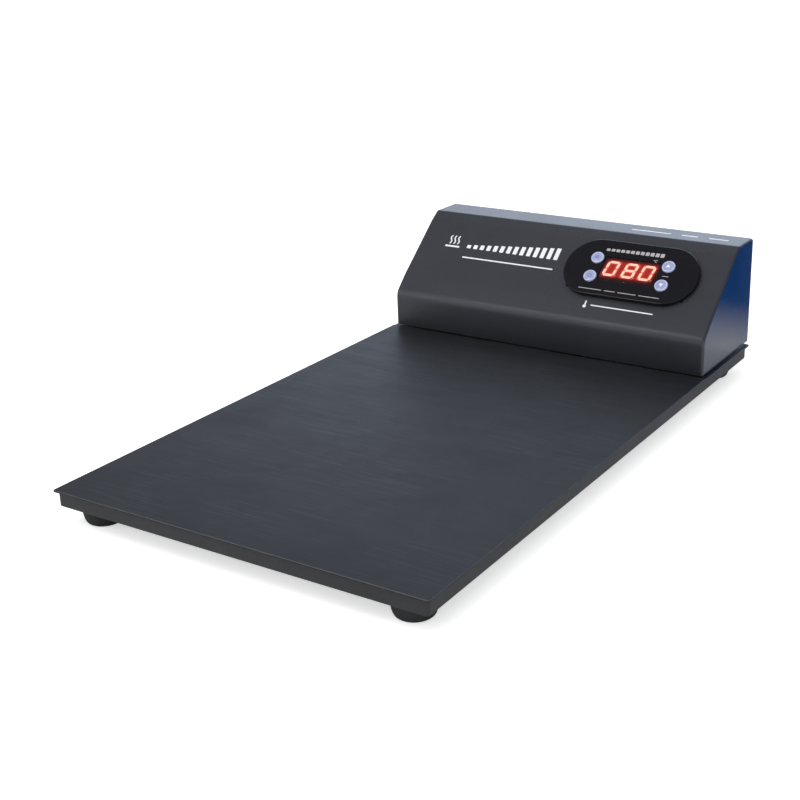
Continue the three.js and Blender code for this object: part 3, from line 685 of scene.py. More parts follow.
plate_material()
paint("plate_edge", (0.013, 0.0134, 0.0150), 0.46, mottle=0.3, wear_amt=0.6, spec=0.25,
      speck=0.3, **PLATE_RIM)
# the rounded top edge of the plate: paint three times lighter than the coating, a painted highlight
# along the rim
paint("plate_bevel_painted_highlight", (0.046, 0.048, 0.054), 0.36, mottle=0.35, wear_amt=0.5, spec=0.45,
      speck=0.4, **PLATE_RIM)
paint("tray_paint", (0.027, 0.0280, 0.0302), 0.52, grain=1700, grain_h=1.6e-5, peel_h=1.8e-5,
      wear=BARE, wear_amt=0.45, speck=0.25, dust=0.25, spec=0.3)
paint("foot_rubber", (0.020, 0.020, 0.021), 0.72, grain=2600, grain_h=2.2e-5, peel_h=1.2e-5,
      mottle=0.2, wear=(0.07, 0.07, 0.072), spec=0.35, dust=0.5)
paint("housing_paint", (0.0272, 0.0284, 0.0352), 0.40, grain=1900, grain_h=1.3e-5,
      mottle=0.12, wear=(0.15, 0.155, 0.165), wear_amt=0.35, speck=0.3, dust=0.12,
      painted_light_by_height=HOUSE_PAINTED_SHADE_AND_HIGHLIGHT)
# navy laid on the flat right end face only: a painted reflection of the blue light that falls on that
# end
paint("housing_end_paint", (0.0040, 0.0125, 0.0340), 0.25, grain=1900, grain_h=1.0e-5,
      peel_h=1.2e-5, mottle=0.08, wear=(0.15, 0.155, 0.165), wear_amt=0.3, speck=0.04,
      rough_var=0.04)
paint("chassis_paint", (0.024, 0.025, 0.029), 0.43, grain=1900, wear=(0.16, 0.16, 0.17),
      wear_amt=0.4, speck=0.3, edge_r=0.0004)
paint("bezel_plastic", (0.0050, 0.0048, 0.0066), 0.22, grain=2600, grain_h=1.2e-6,
      peel_h=2e-6, mottle=0.2, wear=(0.035, 0.035, 0.042), wear_amt=0.3, spec=0.36,
      rough_var=0.03, dust=0.04)
# lit and shaded copies of one pearl paint: the middle a shade darker, the rim much lighter, painted
# shade and a painted highlight
paint("button_pearl", (0.33, 0.365, 0.60), 0.27, mottle=0.1, **PEARL)
paint("button_rim_painted_highlight", (0.56, 0.60, 0.84), 0.26, mottle=0.08, wear=(0.7, 0.73, 0.9),
      edge_r=0.0005, **PEARL)
paint("case_plastic", (0.02, 0.02, 0.022), 0.5, grain=1500, grain_h=2e-5,
      wear=(0.06, 0.06, 0.06))
paint("inlet_plastic", (0.017, 0.0172, 0.0185), 0.46, grain=1500, grain_h=2.2e-5,
      mottle=0.15, wear=(0.07, 0.07, 0.075), spec=0.45, dust=0.3)
paint("switch_plastic", (0.013, 0.013, 0.0145), 0.34, grain_h=8e-6, wear=(0.06, 0.06, 0.065))
paint("rocker_plastic", (0.42, 0.018, 0.012), 0.27, grain=2200, grain_h=4e-6, peel_h=6e-6,
      mottle=0.1, wear=(0.62, 0.10, 0.07), wear_amt=0.4, coat=0.25, coat_rough=0.15)
paint("relay_blue", (0.02, 0.08, 0.33), 0.4, grain=1600, mottle=0.1, wear=(0.15, 0.25, 0.5))
paint("transformer_tape", (0.62, 0.43, 0.05), 0.42, grain=900, grain_h=1e-5, mottle=0.15,
      wear=(0.7, 0.55, 0.2))
paint("terminal_green", (0.03, 0.24, 0.08), 0.45, grain=1400, mottle=0.12,
      wear=(0.2, 0.4, 0.25))
weave("spacer_fibre", (0.36, 0.24, 0.10), (0.5, 0.36, 0.18), pitch=2200, rough=0.65)
weave("mat_silicone", (0.30, 0.075, 0.03), (0.42, 0.12, 0.05), pitch=1500, rough=0.68)
weave("blanket", (0.72, 0.69, 0.62), (0.85, 0.83, 0.78), pitch=700, rough=0.95)
weave("red_silicone", (0.38, 0.035, 0.02), (0.5, 0.06, 0.035), pitch=2600, rough=0.55)
for name, color in (("dark_wire", (0.03, 0.032, 0.035)), ("brown_wire", (0.11, 0.045, 0.018)),
                    ("blue_wire", (0.015, 0.075, 0.34))):
    paint(name, color, 0.42, grain=2600, grain_h=5e-6, mottle=0.1)
board_material()
metal("zinc_steel", (0.60, 0.61, 0.63), 0.32, tarnish=(0.42, 0.42, 0.40))
metal("blackened_steel", (0.10, 0.10, 0.105), 0.38, tarnish=(0.06, 0.055, 0.05),
      tarnish_amt=0.5)
metal("nickel_brass", (0.70, 0.66, 0.55), 0.24, tarnish=(0.5, 0.42, 0.28))
metal("brass", (0.72, 0.52, 0.24), 0.3, tarnish=(0.45, 0.3, 0.14))
glass("window_lens", (0.97, 0.90, 0.89), gloss=0.16, rough=0.05)
glass("fuse_glass", (0.86, 0.92, 0.92))
ink("print_white", (0.80, 0.81, 0.83), worn=0.2)
ink("print_grey", (0.42, 0.39, 0.41), worn=0.3)
ink("print_indigo", (0.10, 0.11, 0.26), worn=0.3, rough=0.4)
paint("led_block", (0.010, 0.003, 0.003), 0.45, grain=1800, grain_h=6e-6, mottle=0.2)
glow("led_core", (1.22, 0.90, 0.68), vary=0.05)
glow("led_rim", (1.08, 0.52, 0.38), vary=0.07)
glow("led_side", (0.80, 0.14, 0.09), vary=0.10)
glow("led_point", (0.62, 0.16, 0.12), vary=0.10)
# the spread light: red, paling above the white point; levels are spaced by their square
GLOW_MAX, WHITE_POINT = 0.84, 0.48
GLOW_NAMES = ["led_glow_%02d" % k for k in range(18)]
TOP_LEVEL = len(GLOW_NAMES) - 1
for k, name in enumerate(GLOW_NAMES):
    level = GLOW_MAX * (k / TOP_LEVEL) ** 2
    pale = max(0.0, level - WHITE_POINT) ** 1.3
    glow(name, (level, 0.058 * level + 0.55 * pale, 0.048 * level + 0.42 * pale), vary=0.10)
earth_wire_material()

# ---------------------------------------------------------------- heating plate
PLATE_W, PLATE_L = 190, 320
SEAT_Y, SEAT = 97.6, 0.3  # the top steps down under the housing, over a short ramp
RAMP = 0.35
EDGE_BAND = 0.6  # width of the border given the edge paint and the lighter bevel paint, the latter a painted highlight
# (inset, z): a thin lip over a narrower body that drops into the tray
plate_profile = [(3.0, 14.0), (2.86, 14.06), (2.8, 14.2), (2.8, 15.0)]
plate_profile += bottom_edge(0.25, 15.0, 4) + top_edge(0.5, PLATE_TOP, 8)
plate = make("heating_plate_body",
             stack_up(inset_rect(PLATE_W, PLATE_L, 1.2, 0.3), plate_profile), "plate_coating")
bm = bmesh.new()
bm.from_mesh(plate.data)
for y in (SEAT_Y - RAMP, SEAT_Y):
    bmesh.ops.bisect_plane(bm, geom=bm.verts[:] + bm.edges[:] + bm.faces[:],
                           plane_co=from_floor((0, y, 0)), plane_no=(0, 1, 0))
for vert in bm.verts:
    if vert.co.y > from_floor((0, SEAT_Y - 0.01, 0)).y and vert.co.z > 14.9 * MM:
        vert.co.z -= SEAT * MM
bm.to_mesh(plate.data)
bm.free()
boolean(plate, [post(4.5, 10.3, 14.5, *at, 36) for at in CORNERS.values()], op="UNION")
boolean(plate, [hole_up(5, 14.6, at) for at in CORNERS.values()]
        + [hole_up(5, 20, at) for at in HOUSE_FIX.values()] + [post(7.1, 5, 20, 0, 132)])
add_materials(plate, "plate_edge", "plate_bevel_painted_highlight")
for face in plate.data.polygons:
    centre, rise = face.center, face.normal.z
    past_x = abs(centre.x - MID_X) - (PLATE_W / 2 - EDGE_BAND) * MM
    past_y = abs(centre.y - MID_Y) - (PLATE_L / 2 - EDGE_BAND) * MM
    if centre.z > 15.0 * MM and -0.9 < rise < 0.93 and max(past_x, past_y) > 0:
        # the rounded rim faces take the lighter bevel paint, a painted highlight
        face.material_index = 1 if rise < 0.35 else 2
register(plate, "heating_plate")

# ---------------------------------------------------------------- base tray
# one folded sheet: a bent-up wall all round and a deeper pan between the feet
tray_low, tray_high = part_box("base_tray")
TRAY_W = (tray_high.x - tray_low.x) / MM
TRAY_L = (tray_high.y - tray_low.y) / MM
TRAY_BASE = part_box("foot_rear_left")[1].z / MM - 0.2
PAN_BASE, TRAY_TOP = tray_low.z / MM, tray_high.z / MM - 0.35
PAN_BEND, STEP_BEND = 1.5, 0.6
tray_outline = inset_rect(TRAY_W, TRAY_L, 2.0, 0.3)
pan_outline = inset_rect(166.0, 265.4, 3.8, y=1.7)


def tray_ring(inset, z):
    return [(x, y, z) for x, y in tray_outline(inset)]


def pan_ring(grow, z):
    return [(x, y, z) for x, y in pan_outline(-grow)]


# outside, from the pan's floor up to the rim
sections = [pan_ring(SHEET - PAN_BEND + PAN_BEND * sin(t), PAN_BASE + PAN_BEND - PAN_BEND * cos(t))
            for t in steps(0.05, pi / 2, 7)]
sections += [pan_ring(SHEET + STEP_BEND - STEP_BEND * cos(t),
                      TRAY_BASE - STEP_BEND + STEP_BEND * sin(t))
             for t in steps(0.0, pi / 2, 5)]
sections += [tray_ring(i, z) for i, z in bottom_edge(0.6, TRAY_BASE)]
sections += [tray_ring(0, TRAY_BASE + 3.4)]
sections += [tray_ring(i, z) for i, z in top_edge(0.28, TRAY_TOP, 4)]
# inside, back down: (inset, height) of the wall, then (growth, height) of the pan
sections += [tray_ring(i, TRAY_TOP - drop) for i, drop in ((0.92, 0), (1.12, 0.08), (SHEET, 0.28))]
sections += [tray_ring(i, TRAY_BASE + rise) for i, rise in ((SHEET, 1.6), (1.35, 1.3), (1.65, SHEET))]
sections += [pan_ring(grow, TRAY_BASE + rise) for grow, rise in ((0.5, SHEET), (0.15, 1.1), (0, 0.8))]
sections += [pan_ring(grow, PAN_BASE + rise)
             for grow, rise in ((0, 1.6), (-0.15, 1.3), (-0.5, SHEET))]
tray = make("base_tray_body", rings(sections), "tray_paint")
boolean(tray, [post(2.1, 4, 12, *at, 24) for at in CORNERS.values()])
register(tray, "base_tray")

# ---------------------------------------------------------------- rubber feet and screws
# (radius, z)
FOOT_SIDE = [(9.9, 8.2), (9.62, 7.2), (9.3, 5.4), (8.98, 3.4), (8.62, 1.95), (8.05, 0.8),
             (7.4, 0.22), (6.75, 0.02)]
FOOT_RECESS = [(4.55, 0.0), (4.25, 0.09), (4.1, 0.35), (4.1, 2.25), (3.9, 2.4), (2.1, 2.4)]
foot_profile = [(2.1, 8.5), (9.6, 8.5), (9.82, 8.43)]
foot_profile += [(q.x, q.y) for q in spline(FOOT_SIDE, 5)] + FOOT_RECESS
foot_screw = [(0, 0.7), (1.9, 0.72), (2.45, 0.85), (2.75, 1.05), (3.3, 1.55), (3.4, 1.75),
              (3.4, 2.1), (1.6, 2.1), (1.5, 2.3)]
for k in range(20):
    foot_screw += [(1.5, 2.5 + k * 0.5), (1.34, 2.75 + k * 0.5)]
foot_screw += [(1.5, 12.6), (1.2, 13.2), (0, 13.2)]
for where, (x, y) in CORNERS.items():
    foot = make("foot_%s_rubber" % where, lathe_up(foot_profile, x, y, 72, loop=True),
                "foot_rubber", angle=40)
    register(foot, "foot_" + where)
    screw = make("foot_screw_%s_steel" % where, lathe_up(foot_screw, x, y, 32), "zinc_steel",
                 angle=40)
    boolean(screw, [box(x - 2.1, x + 2.1, y - 0.4, y + 0.4, 0, 1.35)], angle=40)
    register(screw, "foot_screw_" + where)

# ---------------------------------------------------------------- housing cover
HOUSE_HALF, HOUSE_FRONT, HOUSE_REAR = 93.0, 98.0, 162.0
# the slope's outline in (y, z): three pitches that meet at the lower and upper bends
LOW_PITCH, MID_PITCH, HIGH_PITCH = radians(44.5), radians(40), radians(34.5)
lower_bend = Vector((106.58, 43.96))
upper_bend = lower_bend + 40 * Vector((cos(MID_PITCH), sin(MID_PITCH)))
front_top = (lower_bend.y - 7 * sin(LOW_PITCH)
             - 12 * tan((pi / 2 - LOW_PITCH) / 2) * sin(LOW_PITCH))
top_front = upper_bend.x + (HOUSE_TOP - upper_bend.y) / tan(HIGH_PITCH)
COVER_LINE = [Vector((HOUSE_FRONT, HOUSE_BASE)), Vector((HOUSE_FRONT, front_top)), lower_bend,
              upper_bend, Vector((top_front, HOUSE_TOP)), Vector((HOUSE_REAR, HOUSE_TOP))]
COVER_RADII = [0, 7.0, 45.0, 30.0, 2.0, 0]


def side_line(inset):
    """the cover's side outline moved inwards, corners kept round"""
    points = [(HOUSE_FRONT + inset, HOUSE_BASE)]
    for before, here, after in zip(COVER_LINE, COVER_LINE[1:], COVER_LINE[2:]):
        edge_in, edge_out = (here - before).normalized(), (after - here).normalized()
        normal = Vector((edge_in.y, -edge_in.x))
        both = normal + Vector((edge_out.y, -edge_out.x))
        moved = here + both * (inset / both.dot(normal))
        points.append((moved.x, moved.y))
    points.append((HOUSE_REAR, HOUSE_TOP - inset))
    return fillet(points, [max(r - inset, 0.35) for r in COVER_RADII], 9, closed=False)


def cover_skin(half, inset, radius):
    """(x, side line) from the left end to the right; the ends are rounded"""
    turn = steps(0, pi / 2, 7)
    stations = [(-half + radius - radius * cos(t), inset + radius - radius * sin(t))
                for t in turn]
    stations += [(-half * 0.5, inset), (0, inset), (half * 0.5, inset)]
    stations += [(half - radius + radius * sin(t), inset + radius - radius * cos(t))
                 for t in turn]
    return [(x, side_line(d)) for x, d in stations]


def cover_shape():
    """outer and inner skins, joined round their open rear and underside"""
    verts, faces, borders = [], [], []
    for skin in (cover_skin(HOUSE_HALF, 0.0, 1.5), cover_skin(HOUSE_HALF - SHEET, SHEET, 0.3)):
        first, k, m = len(verts), len(skin[0][1]), len(skin)
        for x, line in skin:
            verts.extend((x, y, z) for y, z in line)
        left = len(verts)
        right = left + 1
        verts += [(skin[0][0], HOUSE_REAR, HOUSE_BASE), (skin[-1][0], HOUSE_REAR, HOUSE_BASE)]
        for a in range(first, first + (m - 1) * k, k):
            for j in range(a, a + k - 1):
                faces.append((j, j + k, j + k + 1, j + 1))
        last = first + (m - 1) * k
        faces.append((*range(first, first + k), left))
        faces.append((*range(last, last + k), right))
        borders.append([left, *(first + i * k for i in range(m)), right,
                        *(first + i * k + k - 1 for i in range(m - 1, -1, -1))])
    outer, inner = borders
    for i in range(len(outer)):
        j = (i + 1) % len(outer)
        faces.append((outer[i], outer[j], inner[j], inner[i]))
    return verts, faces


# (x, z) of the rear screws
REAR_SCREWS = {level + "_" + side: (sign * 87.7, z)
               for level, z in (("lower", 30), ("upper", 64))
               for side, sign in (("left", -1), ("right", 1))}
cover = make("housing_cover_shell", cover_shape(), "housing_paint", angle=38)
lips = [round_box(x0, x0 + 8.8, 159.3, 160.5, 22, HOUSE_TOP - 0.6, 0.2) for x0 in (-92.4, 83.6)]
boolean(cover, lips, op="UNION", angle=38)
boolean(cover, [hole_back(150, 161.5, *at) for at in REAR_SCREWS.values()], angle=38,
        placed=[cutter(box(-33.5, 33.5, -13.5, 13.5, -6, 4), on_slope)])
add_materials(cover, "housing_end_paint")
# only the flat right end takes the navy, a painted reflection; the left end keeps the housing paint
for face in cover.data.polygons:
    if face.normal.x > 0.97 and face.center.x > MID_X + (HOUSE_HALF - 0.2) * MM:
        face.material_index = 1
register(cover, "housing_cover")

# ---------------------------------------------------------------- housing chassis
# floor and rear panel in one bent sheet
INLET_X, INLET_Z = -50.0, 44
INLET_SCREWS = {"left": INLET_X - 20, "right": INLET_X + 20}
SWITCH_X, SWITCH_Z = -8.0, 44.0
REAR_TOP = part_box("housing_chassis")[1].z / MM
BEND_Y, BEND_Z = 160.4, 20.6
# (y, z)
section = [(99.5, 19.0)]
section += [(BEND_Y + 1.6 * sin(t), BEND_Z - 1.6 * cos(t)) for t in steps(0, pi / 2, 8)]
section += [(162.0, REAR_TOP - 0.2), (161.8, REAR_TOP), (161.0, REAR_TOP),
            (160.8, REAR_TOP - 0.2)]
section += [(BEND_Y + 0.4 * cos(t), BEND_Z - 0.4 * sin(t)) for t in steps(0, pi / 2, 5)]
section += [(99.5, 20.2)]
chassis = make("housing_chassis_sheet",
               rings([[(x, y, z) for y, z in section] for x in (-91.4, 91.4)]),
               "chassis_paint", angle=30)
cuts = [box(x - 4.4, x + 4.4, 158.6, 160.79, 18, 20.9) for x in (-87.6, 87.6)]
cuts += [hole_up(15, 25, at) for at in HOUSE_FIX.values()]
cuts += [post(10, 15, 25, 0, 132), hole_up(15, 25, (-84, 130))]
cuts += [hole_back(155, 165, *at) for at in REAR_SCREWS.values()]
cuts += [hole_back(155, 165, x, INLET_Z) for x in INLET_SCREWS.values()]
for x, z, half_w, half_h in ((INLET_X, INLET_Z, 14.3, 14.3), (SWITCH_X, SWITCH_Z, 6.9, 9.7)):
    cuts.append(box(x - half_w, x + half_w, 155, 165, z - half_h, z + half_h))
boolean(chassis, cuts, angle=30)
register(chassis, "housing_chassis")


# ---------------------------------------------------------------- screws on the back
def pan_screw(name, x, z, head_y, tip_y, radius, material):
    """threaded shank and a domed head with a tapered cross recess"""
    height, rim = 1.6, 0.5
    profile = [(0.0, tip_y), (1.0, tip_y), (1.5, tip_y + 0.5)]
    y = tip_y + 0.8
    while y < head_y - 0.9:
        profile += [(1.5, y), (1.33, y + 0.2), (1.5, y + 0.4)]
        y += 0.5
    profile += [(1.5, head_y - 0.4), (1.5, head_y), (radius - 0.1, head_y),
                (radius, head_y + 0.12), (radius, head_y + rim)]
    profile += [(radius * cos(t) if t < 1.5 else 0.0, head_y + rim + (height - rim) * sin(t))
                for t in steps(0.12, pi / 2, 9)]
    ob = make(name, lathe_back(profile, x, z, 40), material, angle=40)
    slots = []
    for half_w, half_h in ((1.55, 0.36), (0.36, 1.55)):
        slots.append(stack_back(
            lambda k: [(x + a * half_w * k, z + b * half_h * k)
                       for a, b in rectangle(-1, 1, -1, 1)],
            [(0.72, head_y + 0.65), (1.35, head_y + 3)]))
    boolean(ob, slots, angle=40)
    return ob


for where, (x, z) in REAR_SCREWS.items():
    register(pan_screw("rear_screw_%s_head" % where, x, z, head_y=162.3, tip_y=155.5,
                       radius=2.8, material="blackened_steel"),
             "rear_screw_" + where)
for side, x in INLET_SCREWS.items():
    register(pan_screw("inlet_screw_%s_head" % side, x, INLET_Z, head_y=164.9, tip_y=157,
                       radius=2.7, material="zinc_steel"),
             "inlet_screw_" + side)

# ---------------------------------------------------------------- mains inlet
# name: (x, z, y of the tip)
PINS = {"line": (INLET_X + 7, 38, 160.5), "neutral": (INLET_X - 7, 38, 160.5),
        "earth": (INLET_X, 42, 161.5)}
# right half of the socket well, (across, z), bottom to top
WELL = [(12.3, 31.6), (12.3, 43.2), (7.6, 48.2)]
well = [(INLET_X - 12.3, 31.6)] + [(INLET_X + a, z) for a, z in WELL]
well += [(INLET_X - a, z) for a, z in WELL[:0:-1]]
DRAWER_Z = 53.5


# profiles here are (inset, y)
inlet = make("inlet_body_moulding",
             stack_back(inset_rect(48, 32, 3, x=INLET_X, y=INLET_Z),
                        [(0.25, 162.3), (0, 162.55), (0, 163.8)] + top_edge(0.7, 164.6)),
             "inlet_plastic")
boolean(inlet, [stack_back(inset_rect(28, 28, 1.2, 1.2, INLET_X, INLET_Z, 5),
                           [(0.4, 141), (0, 141.4), (0, 163)])], op="UNION")
cuts = [stack_back(lambda i: fillet(inset_outline(well, i), max(0.9 - i, 0.2), 5),
                   [(0.25, 148), (0, 148.3), (0, 164.15), (-0.5, 164.65), (-0.5, 166)]),
        stack_back(inset_rect(24.6, 7.4, 0.5, 0.1, INLET_X, DRAWER_Z, 4),
                   [(0, 145.5), (0, 164.2), (-0.35, 164.62), (-0.35, 166)])]
cuts += [box(x - 1.3, x + 1.3, 138, 150, z - 2.3, z + 2.3) for x, z, _ in PINS.values()]
cuts += [lathe_back([(CLEAR, 155), (CLEAR, 164.0), (2.3, 164.65), (2.3, 166)], x, INLET_Z, 28)
         for x in INLET_SCREWS.values()]
boolean(inlet, cuts)
register(inlet, "inlet_body")

for name, (x, z, tip) in PINS.items():
    shape = stack_back(
        lambda i: round_rect(2 - 2 * i, 4 - 2 * i, max(0.35 - i * 0.5, 0.05), x, z, 4),
        [(0.12, 136), (0, 136.15), (0, tip - 1.1), (0.1, tip - 0.7), (0.32, tip - 0.3),
         (0.55, tip - 0.08), (0.7, tip)])
    pin = make("inlet_pin_%s_blade" % name, shape, "nickel_brass")
    register(pin, "inlet_pin_" + name)

drawer = make("fuse_drawer_moulding",
              stack_back(inset_rect(24, 6.8, 0.5, 0.08, INLET_X, DRAWER_Z, 5),
                         [(0.2, 146), (0, 146.2), (0, 164.6)] + top_edge(0.4, 165.0, 5)),
              "inlet_plastic")
boolean(drawer, [stack_back(inset_rect(10, 2.6, 0.5, 0.08, INLET_X, DRAWER_Z, 5),
                            [(0, 164)] + top_edge(0.3, 165.8, 4))], op="UNION")
boolean(drawer, [box(INLET_X - 10.6, INLET_X + 10.6, 149, 155.6, 50.8, 60),
                 stack_back(inset_rect(16, 0.9, 0.3, x=INLET_X, y=55.75, n=3),
                            [(0, 164.7), (0, 166)])])
register(drawer, "fuse_drawer", body="fuse_carrier")

# the fuse lies across the drawer: (radius, distance along) of its left half
FUSE_HALF = [(0, -10), (2.2, -10), (2.45, -9.8), (2.5, -9.5), (2.5, -5.2), (2.3, -5.0),
             (2.25, -4.8)]
fuse_profile = FUSE_HALF + [(radius, -along) for radius, along in FUSE_HALF[::-1]]
fuse = make("fuse_cartridge",
            rings([[(INLET_X + along, 152.3 + y, 53.6 + z) for y, z in circle(radius, n=32)]
                   for radius, along in fuse_profile]), "fuse_glass", angle=40)
add_materials(fuse, "nickel_brass")
for face in fuse.data.polygons:
    if abs(face.center.x - MID_X - INLET_X * MM) > 4.95 * MM:
        face.material_index = 1
register(fuse, "fuse", body="fuse_carrier")

# ---------------------------------------------------------------- power switch
surround = make("switch_frame_moulding",
                stack_back(inset_rect(15, 21, 1.2, 0.2, SWITCH_X, SWITCH_Z, 6),
                           [(0.2, 162.3), (0, 162.5), (0, 163.8)] + top_edge(0.5, 164.3)),
                "switch_plastic")
boolean(surround, [stack_back(inset_rect(13.2, 18.8, 0.6, x=SWITCH_X, y=SWITCH_Z, n=4),
                              [(0, 148), (0, 163)])], op="UNION")
tabs = [round_box(SWITCH_X - 2.4, SWITCH_X + 2.4, 141, 149, SWITCH_Z + a - 0.4,
                  SWITCH_Z + a + 0.4, 0.12) for a in (-3.9, 3.9)]
boolean(surround, tabs, op="UNION")
boolean(surround, [stack_back(inset_rect(11.2, 18.2, 0.4, 0.1, SWITCH_X, SWITCH_Z, 4),
                              [(0, 154), (0, 163.9), (-0.45, 164.32), (-0.45, 166)])])
register(surround, "switch_frame")

PIVOT_Y = 160.5
TILT = radians(9)  # rocked to on


def on_rocker(point):
    """the tilted rocker's axes (x, out, up) to metres"""
    x, out, up = point
    return from_floor((x, PIVOT_Y + (out * cos(TILT) - up * sin(TILT)),
                       SWITCH_Z + (out * sin(TILT) + up * cos(TILT))))


def rocker_face(up):
    """how far out the hollow face stands"""
    return 3.68 + 1.92 * (abs(up) / 8.0) ** 1.45


# (out, up), counter-clockwise: the face, the upper side, the rounded back, the lower side
SIDE = [(5.42, 7.85), (5.05, 8.0), (-2.2, 8.0), (-2.5, 7.85)]
BACK_CURVE = [(-3.5, 6.0), (-4.55, 4.0), (-5.2, 0.0), (-4.55, -4.0), (-3.5, -6.0)]
section = [(rocker_face(up), up) for up in steps(-7.55, 7.55, 25)] + SIDE
section += [(q.x, q.y) for q in spline(BACK_CURVE, 4)]
section += [(out, -up) for out, up in SIDE[::-1]]
ROUND = 0.5
turn = steps(0, pi / 2, 5)
# (across, inset) from one rounded end to the other
stations = [(-5.2 + ROUND - ROUND * cos(t), ROUND - ROUND * sin(t)) for t in turn]
stations += [(4.7 + ROUND * sin(t), ROUND - ROUND * cos(t)) for t in turn]
rocker = make("switch_rocker_cap",
              rings([[(SWITCH_X + x, out, up) for out, up in inset_outline(section, inset)]
                     for x, inset in stations]), "rocker_plastic", on_rocker, angle=40)
register(rocker, "switch_rocker", body="rocker")


def face_ring(points, lift):
    """an outline in (across, up) laid on the rocker's face"""
    return [(SWITCH_X + x, rocker_face(up) + lift, up) for x, up in points]


SUNK, RAISED = -0.05, 0.07
ring_in, ring_out = circle(1.35, 0, -4.9, 40), circle(1.85, 0, -4.9, 40)
ring_mark = rings([face_ring(ring_in, SUNK), face_ring(ring_in, RAISED),
                   face_ring(ring_out, RAISED), face_ring(ring_out, SUNK)], loop=True)
line_mark = [(-0.28, 3.0), (0.28, 3.0), (0.28, 4.2), (0.28, 5.4), (0.28, 6.6), (-0.28, 6.6),
             (-0.28, 5.4), (-0.28, 4.2)]
marks = merge(ring_mark, rings([face_ring(line_mark, lift) for lift in (SUNK, RAISED)]))
register(make("switch_rocker_marks", marks, "print_white", on_rocker, angle=40),
         body="rocker")

# ---------------------------------------------------------------- control face on the slope
BEZEL_W, BEZEL_H = 76.4, 36.0
BUTTONS = {row + "_" + side: (x, y)
           for side, x in (("left", -20.9), ("right", 20.0))
           for row, y in (("upper", 5.4), ("lower", -6.6))}

# profiles here are (inset, height out of the panel)
bezel = make("thermostat_bezel_face",
             stack_up(inset_rect(BEZEL_W, BEZEL_H, BEZEL_H / 2 - 0.001, n=24),
                      [(0.35, 0.3), (0.08, 0.42), (0.0, 0.7), (0.0, 1.75)]
                      + top_edge(0.8, 2.6, 8)), "bezel_plastic", on_slope)
boolean(bezel, [stack_up(inset_rect(66.4, 26.4, 1.0, 1.0, n=5),
                         [(0.3, -4.0), (0, -3.7), (0, 1.0)])], on_slope, "UNION")
cuts = [stack_up(inset_rect(63.4, 23.4, 0.6, n=4), [(0, -6), (0, 1.2)]),
        stack_up(inset_rect(32.2, 15.2, 1, 0.2, *WINDOW),
                 [(0, -6), (0, 2.45), (-0.12, 2.62), (-0.12, 6)])]
cuts += [lathe_up([(3.74, -6), (3.74, 2.4), (3.92, 2.63), (3.92, 6)], *at, 56)
         for at in BUTTONS.values()]
boolean(bezel, cuts, on_slope)
register(bezel, "thermostat_bezel")

lens = make("display_window_lens",
            stack_up(inset_rect(32.0, 15.0, 0.9, 0.1, *WINDOW, 6),
                     [(0.05, 2.26), (0, 2.3), (0, 2.46)] + top_edge(0.1, 2.56, 4)),
            "window_lens", on_slope)
register(lens, "display_window")

block = make("led_display_block",
             stack_up(inset_rect(31.8, 14.8, 0.4, 0.4, *WINDOW, 4),
                      [(0.25, -5), (0, -4.8), (0, 1.85)] + top_edge(0.14, 1.99, 3)),
             "led_block", on_slope)
register(block, "led_display")

# ---------------------------------------------------------------- lit figures: 080
DIGITS = ((-10.92, "0"), (-0.27, "8"), (9.53, "0"))  # middle of each figure, across
DIGIT_Y = -0.02
DIGIT_W, DIGIT_H, STROKE_W, SEG_GAP = 5.85, 8.3, 1.55, 0.03
LEAN = 0.16
half_w, half_h = DIGIT_W / 2, DIGIT_H / 2
# middle of each bar from the middle of the figure, half its length, whether it is upright
BARS = [(0, half_h, half_w, False), (0, 0, half_w, False), (0, -half_h, half_w, False)]
BARS += [(x, y, half_h / 2, True) for x, y in ((-half_w, half_h / 2), (half_w, half_h / 2),
                                               (-half_w, -half_h / 2), (half_w, -half_h / 2))]
BAR_PROFILE = [(0.0, 1.97), (0.0, 2.09), (0.05, 2.15), (0.13, 2.18), (0.24, 2.19)]
POINTS = [(x + half_w + 0.62, DIGIT_Y - half_h - 0.12) for x, _ in DIGITS]


def leaned(x, y):
    return x + LEAN * (y - DIGIT_Y), y


def bar_outline(x, y, half, upright, inset):
    """a six-sided bar with pointed ends"""
    thick = STROKE_W / 2 - inset
    tip = half - SEG_GAP - inset
    points = [(-tip, 0), (-tip + thick, -thick), (tip - thick, -thick), (tip, 0),
              (tip - thick, thick), (-tip + thick, thick)]
    return [leaned(x - b, y + a) if upright else leaned(x + a, y + b) for a, b in points]


lit, lit_lines = [], []
for digit_x, figure in DIGITS:
    for bar_x, bar_y, half, upright in BARS:
        if figure == "0" and (bar_x, bar_y) == (0, 0):
            continue
        x, y = digit_x + bar_x, DIGIT_Y + bar_y
        lit.append(stack_up(lambda i: bar_outline(x, y, half, upright, i), BAR_PROFILE))
        reach_x, reach_y = (0, half) if upright else (half, 0)
        lit_lines.append((Vector(leaned(x - reach_x, y - reach_y)),
                          Vector(leaned(x + reach_x, y + reach_y))))
digits = make("display_digits_lit", merge(*lit), "led_core", on_slope, 50, False)
add_materials(digits, "led_rim", "led_side")
for face in digits.data.polygons:
    height = slope_coords(face.center)[2]
    face.material_index = 2 if height < 2.135 else (1 if height < 2.178 else 0)
register(digits)
points = merge(*[stack_up(lambda i: circle(0.46 - i, *at, 20),
                          [(0, 1.97), (0, 2.11), (0.08, 2.15)]) for at in POINTS])
register(make("display_points", points, "led_point", on_slope, 50, False))

# ---------------------------------------------------------------- glow round the figures
FILM_NX, FILM_NY = 168, 78
FILM_HALF_W, FILM_HALF_H = 15.88, 7.38
FILM_LEVELS = (1.995, 2.04)


